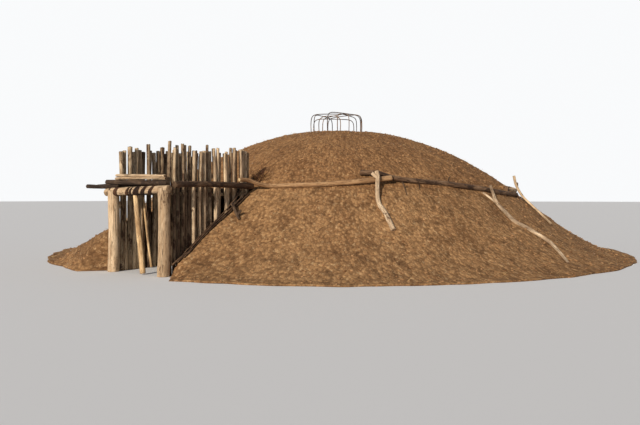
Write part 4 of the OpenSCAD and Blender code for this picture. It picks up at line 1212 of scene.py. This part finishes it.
def buildBandTree():
    number = "NodeSocketFloat"
    tree, given, result = newGrowth(
        "lintelBandStrip",
        [("Turns", number), ("Radius", number), ("Width", number), ("Thickness", number), ("Looseness", number),
         ("Material", "NodeSocketMaterial")],
    )
    spiral = put(tree, "GeometryNodeCurveSpiral", {"Resolution": 22, "Rotations": given["Turns"],
                                                   "Start Radius": given["Radius"], "End Radius": given["Radius"],
                                                   "Height": given["Width"]}).outputs[0]
    place = put(tree, "GeometryNodeInputPosition").outputs[0]
    uneven = put(tree, "ShaderNodeTexNoise", {"Vector": place, "Scale": 9.0, "Detail": 2.0}).outputs[1]
    centred = put(tree, "ShaderNodeVectorMath", {0: uneven, 1: (-0.5,) * 3}, operation="ADD").outputs[0]
    push = put(tree, "ShaderNodeVectorMath", {0: centred, "Scale": given["Looseness"]}, operation="SCALE").outputs[0]
    loose = put(tree, "GeometryNodeSetPosition", {"Geometry": spiral, "Offset": push}).outputs[0]
    profile = put(tree, "GeometryNodeCurvePrimitiveCircle", {"Resolution": 6, "Radius": given["Thickness"]}).outputs[0]
    strip = put(tree, "GeometryNodeCurveToMesh", {"Curve": loose, "Profile Curve": profile, "Fill Caps": True})
    return endGrowth(tree, strip.outputs[0], given["Material"], result)


# Each band: place along the lintel, its width, and how far it leans over
lintelBands = dict(
    thickness=0.0105, pitch=0.0185, looseness=0.010,
    bands=[(-0.95, 0.045, 0.35), (-0.70, 0.12, 0.30), (-0.27, 0.075, 0.5), (-0.155, 0.055, 0.55),
              (0.045, 0.17, 0.6), (0.29, 0.11, 0.75), (0.545, 0.10, 0.75)],
)


def wrapLintelBands():
    start, end, radius, _ = cadLogs("lintel")[0]
    tree, spot = buildBandTree(), bpy.data.meshes.new("spot")
    points, faces = [], []
    for x, width, lean in lintelBands["bands"]:
        centre = start + (end - start) * (x - start[0]) / (end[0] - start[0])
        turns = round(width / lintelBands["pitch"]) + 0.6
        mesh = grow(tree, spot, "lintelBand", dict(
            Turns=turns, Radius=radius + lintelBands["thickness"] * 0.8, Width=width, Thickness=lintelBands["thickness"],
            Looseness=lintelBands["looseness"], Material=materials["lintelBandTone"]))
        first = len(points)
        for vertex in mesh.vertices:
            side, up, along = vertex.co
            points.append((centre[0] + along - width / 2 + lean * up, centre[1] + side, centre[2] + up))
        faces += [[first + corner for corner in face.vertices] for face in mesh.polygons]
    wraps = bpy.data.meshes.new("lintel_dark_bands")
    wraps.from_pydata(points, [], faces)
    wraps.shade_smooth()
    return grownPiece(wraps, "lintel_dark_bands", materials["lintelBandTone"], "dark_weathered_wood")


wrapLintelBands()

# The cage over the smoke hole: the angles of the two feet of each rod and its share of the height
cage = dict(
    radius=0.87, height=0.69, rod=0.014, shift=(-0.045, -0.030, 0.0),
    hoops=[(-52, 128, 0.98), (-9, 41, 0.74), (-113, 61, 0.90), (35, 159, 0.88),
           (-137, -27, 0.90), (13, 141, 0.96), (-191, -82, 0.82), (-127, 105, 0.93)],
)


def hoopPath(first, second, height):
    half, turn = math.radians((second - first) / 2), math.radians((first + second) / 2)
    reach, y = cage["radius"] * math.sin(half), -cage["radius"] * math.cos(half)
    bend = min(0.12, 0.3 * reach)
    foot = float(moundHeight(cage["radius"])) + 0.005
    outline = [(reach, -0.05 / height), (reach, 0.0), (reach + 0.01, 0.45), (reach - 0.12 * bend, 0.78),
               (reach - bend, 0.95), (0.45 * reach, 1.0)]
    outline = [(-x, share) for x, share in outline] + outline[::-1]
    return [(x * math.cos(turn) - y * math.sin(turn) + cage["shift"][0],
             x * math.sin(turn) + y * math.cos(turn) + cage["shift"][1],
             foot + share * height) for x, share in outline]


hoops = [(hoopPath(a, b, share * cage["height"]), cage["rod"], cage["rod"] * 0.9, 0.0) for a, b, share in cage["hoops"]]
bentTimber("smokehole_cage", "cage_rods", hoops, "rod", "brownWood", "dark_weathered_wood", 90)
print("bent timber ready")

# Pieces that keep their CAD mesh
for node, materialName in (("wall_planks", "plankWood"), ("central_posts", "plankWood"), ("thatch_wall", "thatch"),
                           ("thatch_roof", "thatch"), ("central_beams_x", "beamWoodX"),
                           ("central_beams_y", "beamWoodY")):
    for slotOfNode in nodes[node].material_slots:
        slotOfNode.material = materials[materialName]


# Camera, floor and light

view = dict(place=(11.56, -18.01, 1.75), turn=34.36, lens=35.0, sensor=36.0, horizonRow=198, imageSize=(640, 425))


def makeCamera():
    data = bpy.data.cameras.new("photoCamera")
    data.lens, data.sensor_width = view["lens"], view["sensor"]
    data.shift_y = (view["horizonRow"] - view["imageSize"][1] / 2) / view["imageSize"][0]
    data.clip_end = 600
    camera = bpy.data.objects.new("photoCamera", data)
    camera.location = view["place"]
    camera.rotation_euler = (math.pi / 2, 0, math.radians(view["turn"]))
    bpy.context.scene.collection.objects.link(camera)
    bpy.context.scene.camera = camera


def makeFloor():
    size = 300.0
    floor = meshPiece("floor", [(-size, -size, 0), (size, -size, 0), (size, size, 0), (-size, size, 0)],
                      [(0, 1, 2, 3)], np.empty((0, 3)), {})
    material, tree, shader = newMaterial("paleFloor", 0.9, 0.1)
    shader.inputs["Base Color"].default_value = (0.78, 0.78, 0.78, 1)
    floor.data.materials.append(material)


light = dict(strength=4.1, softness=3, tone=(1.0, 0.92, 0.81), height=21, drift=-0.12, sky=(0.21, 0.23, 0.27),
             backdrop=(0.95, 0.96, 0.97))


def makeLight():
    sun = bpy.data.lights.new("sun", "SUN")
    sun.energy, sun.angle, sun.color = light["strength"], math.radians(light["softness"]), light["tone"]
    lamp = bpy.data.objects.new("sun", sun)
    height = math.radians(light["height"])
    ahead = Vector((light["drift"], math.cos(height), -math.sin(height)))
    lamp.rotation_euler = ahead.to_track_quat("-Z", "Y").to_euler()
    bpy.context.scene.collection.objects.link(lamp)
    world = bpy.data.worlds.new("studio")
    bpy.context.scene.world = world
    world.use_nodes = True
    tree = world.node_tree
    rays = tree.nodes.new("ShaderNodeLightPath")
    seen = sums(tree, "MAXIMUM", rays.outputs["Is Camera Ray"],
                sums(tree, "MAXIMUM", rays.outputs["Is Glossy Ray"], rays.outputs["Is Transmission Ray"]))
    tone = mixColours(tree, seen, (*light["sky"], 1), (*light["backdrop"], 1))
    tree.links.new(tone, tree.nodes["Background"].inputs["Color"])


makeCamera()
makeFloor()
makeLight()
bpy.context.scene.view_settings.view_transform = "Standard"
print("camera, floor and light ready")
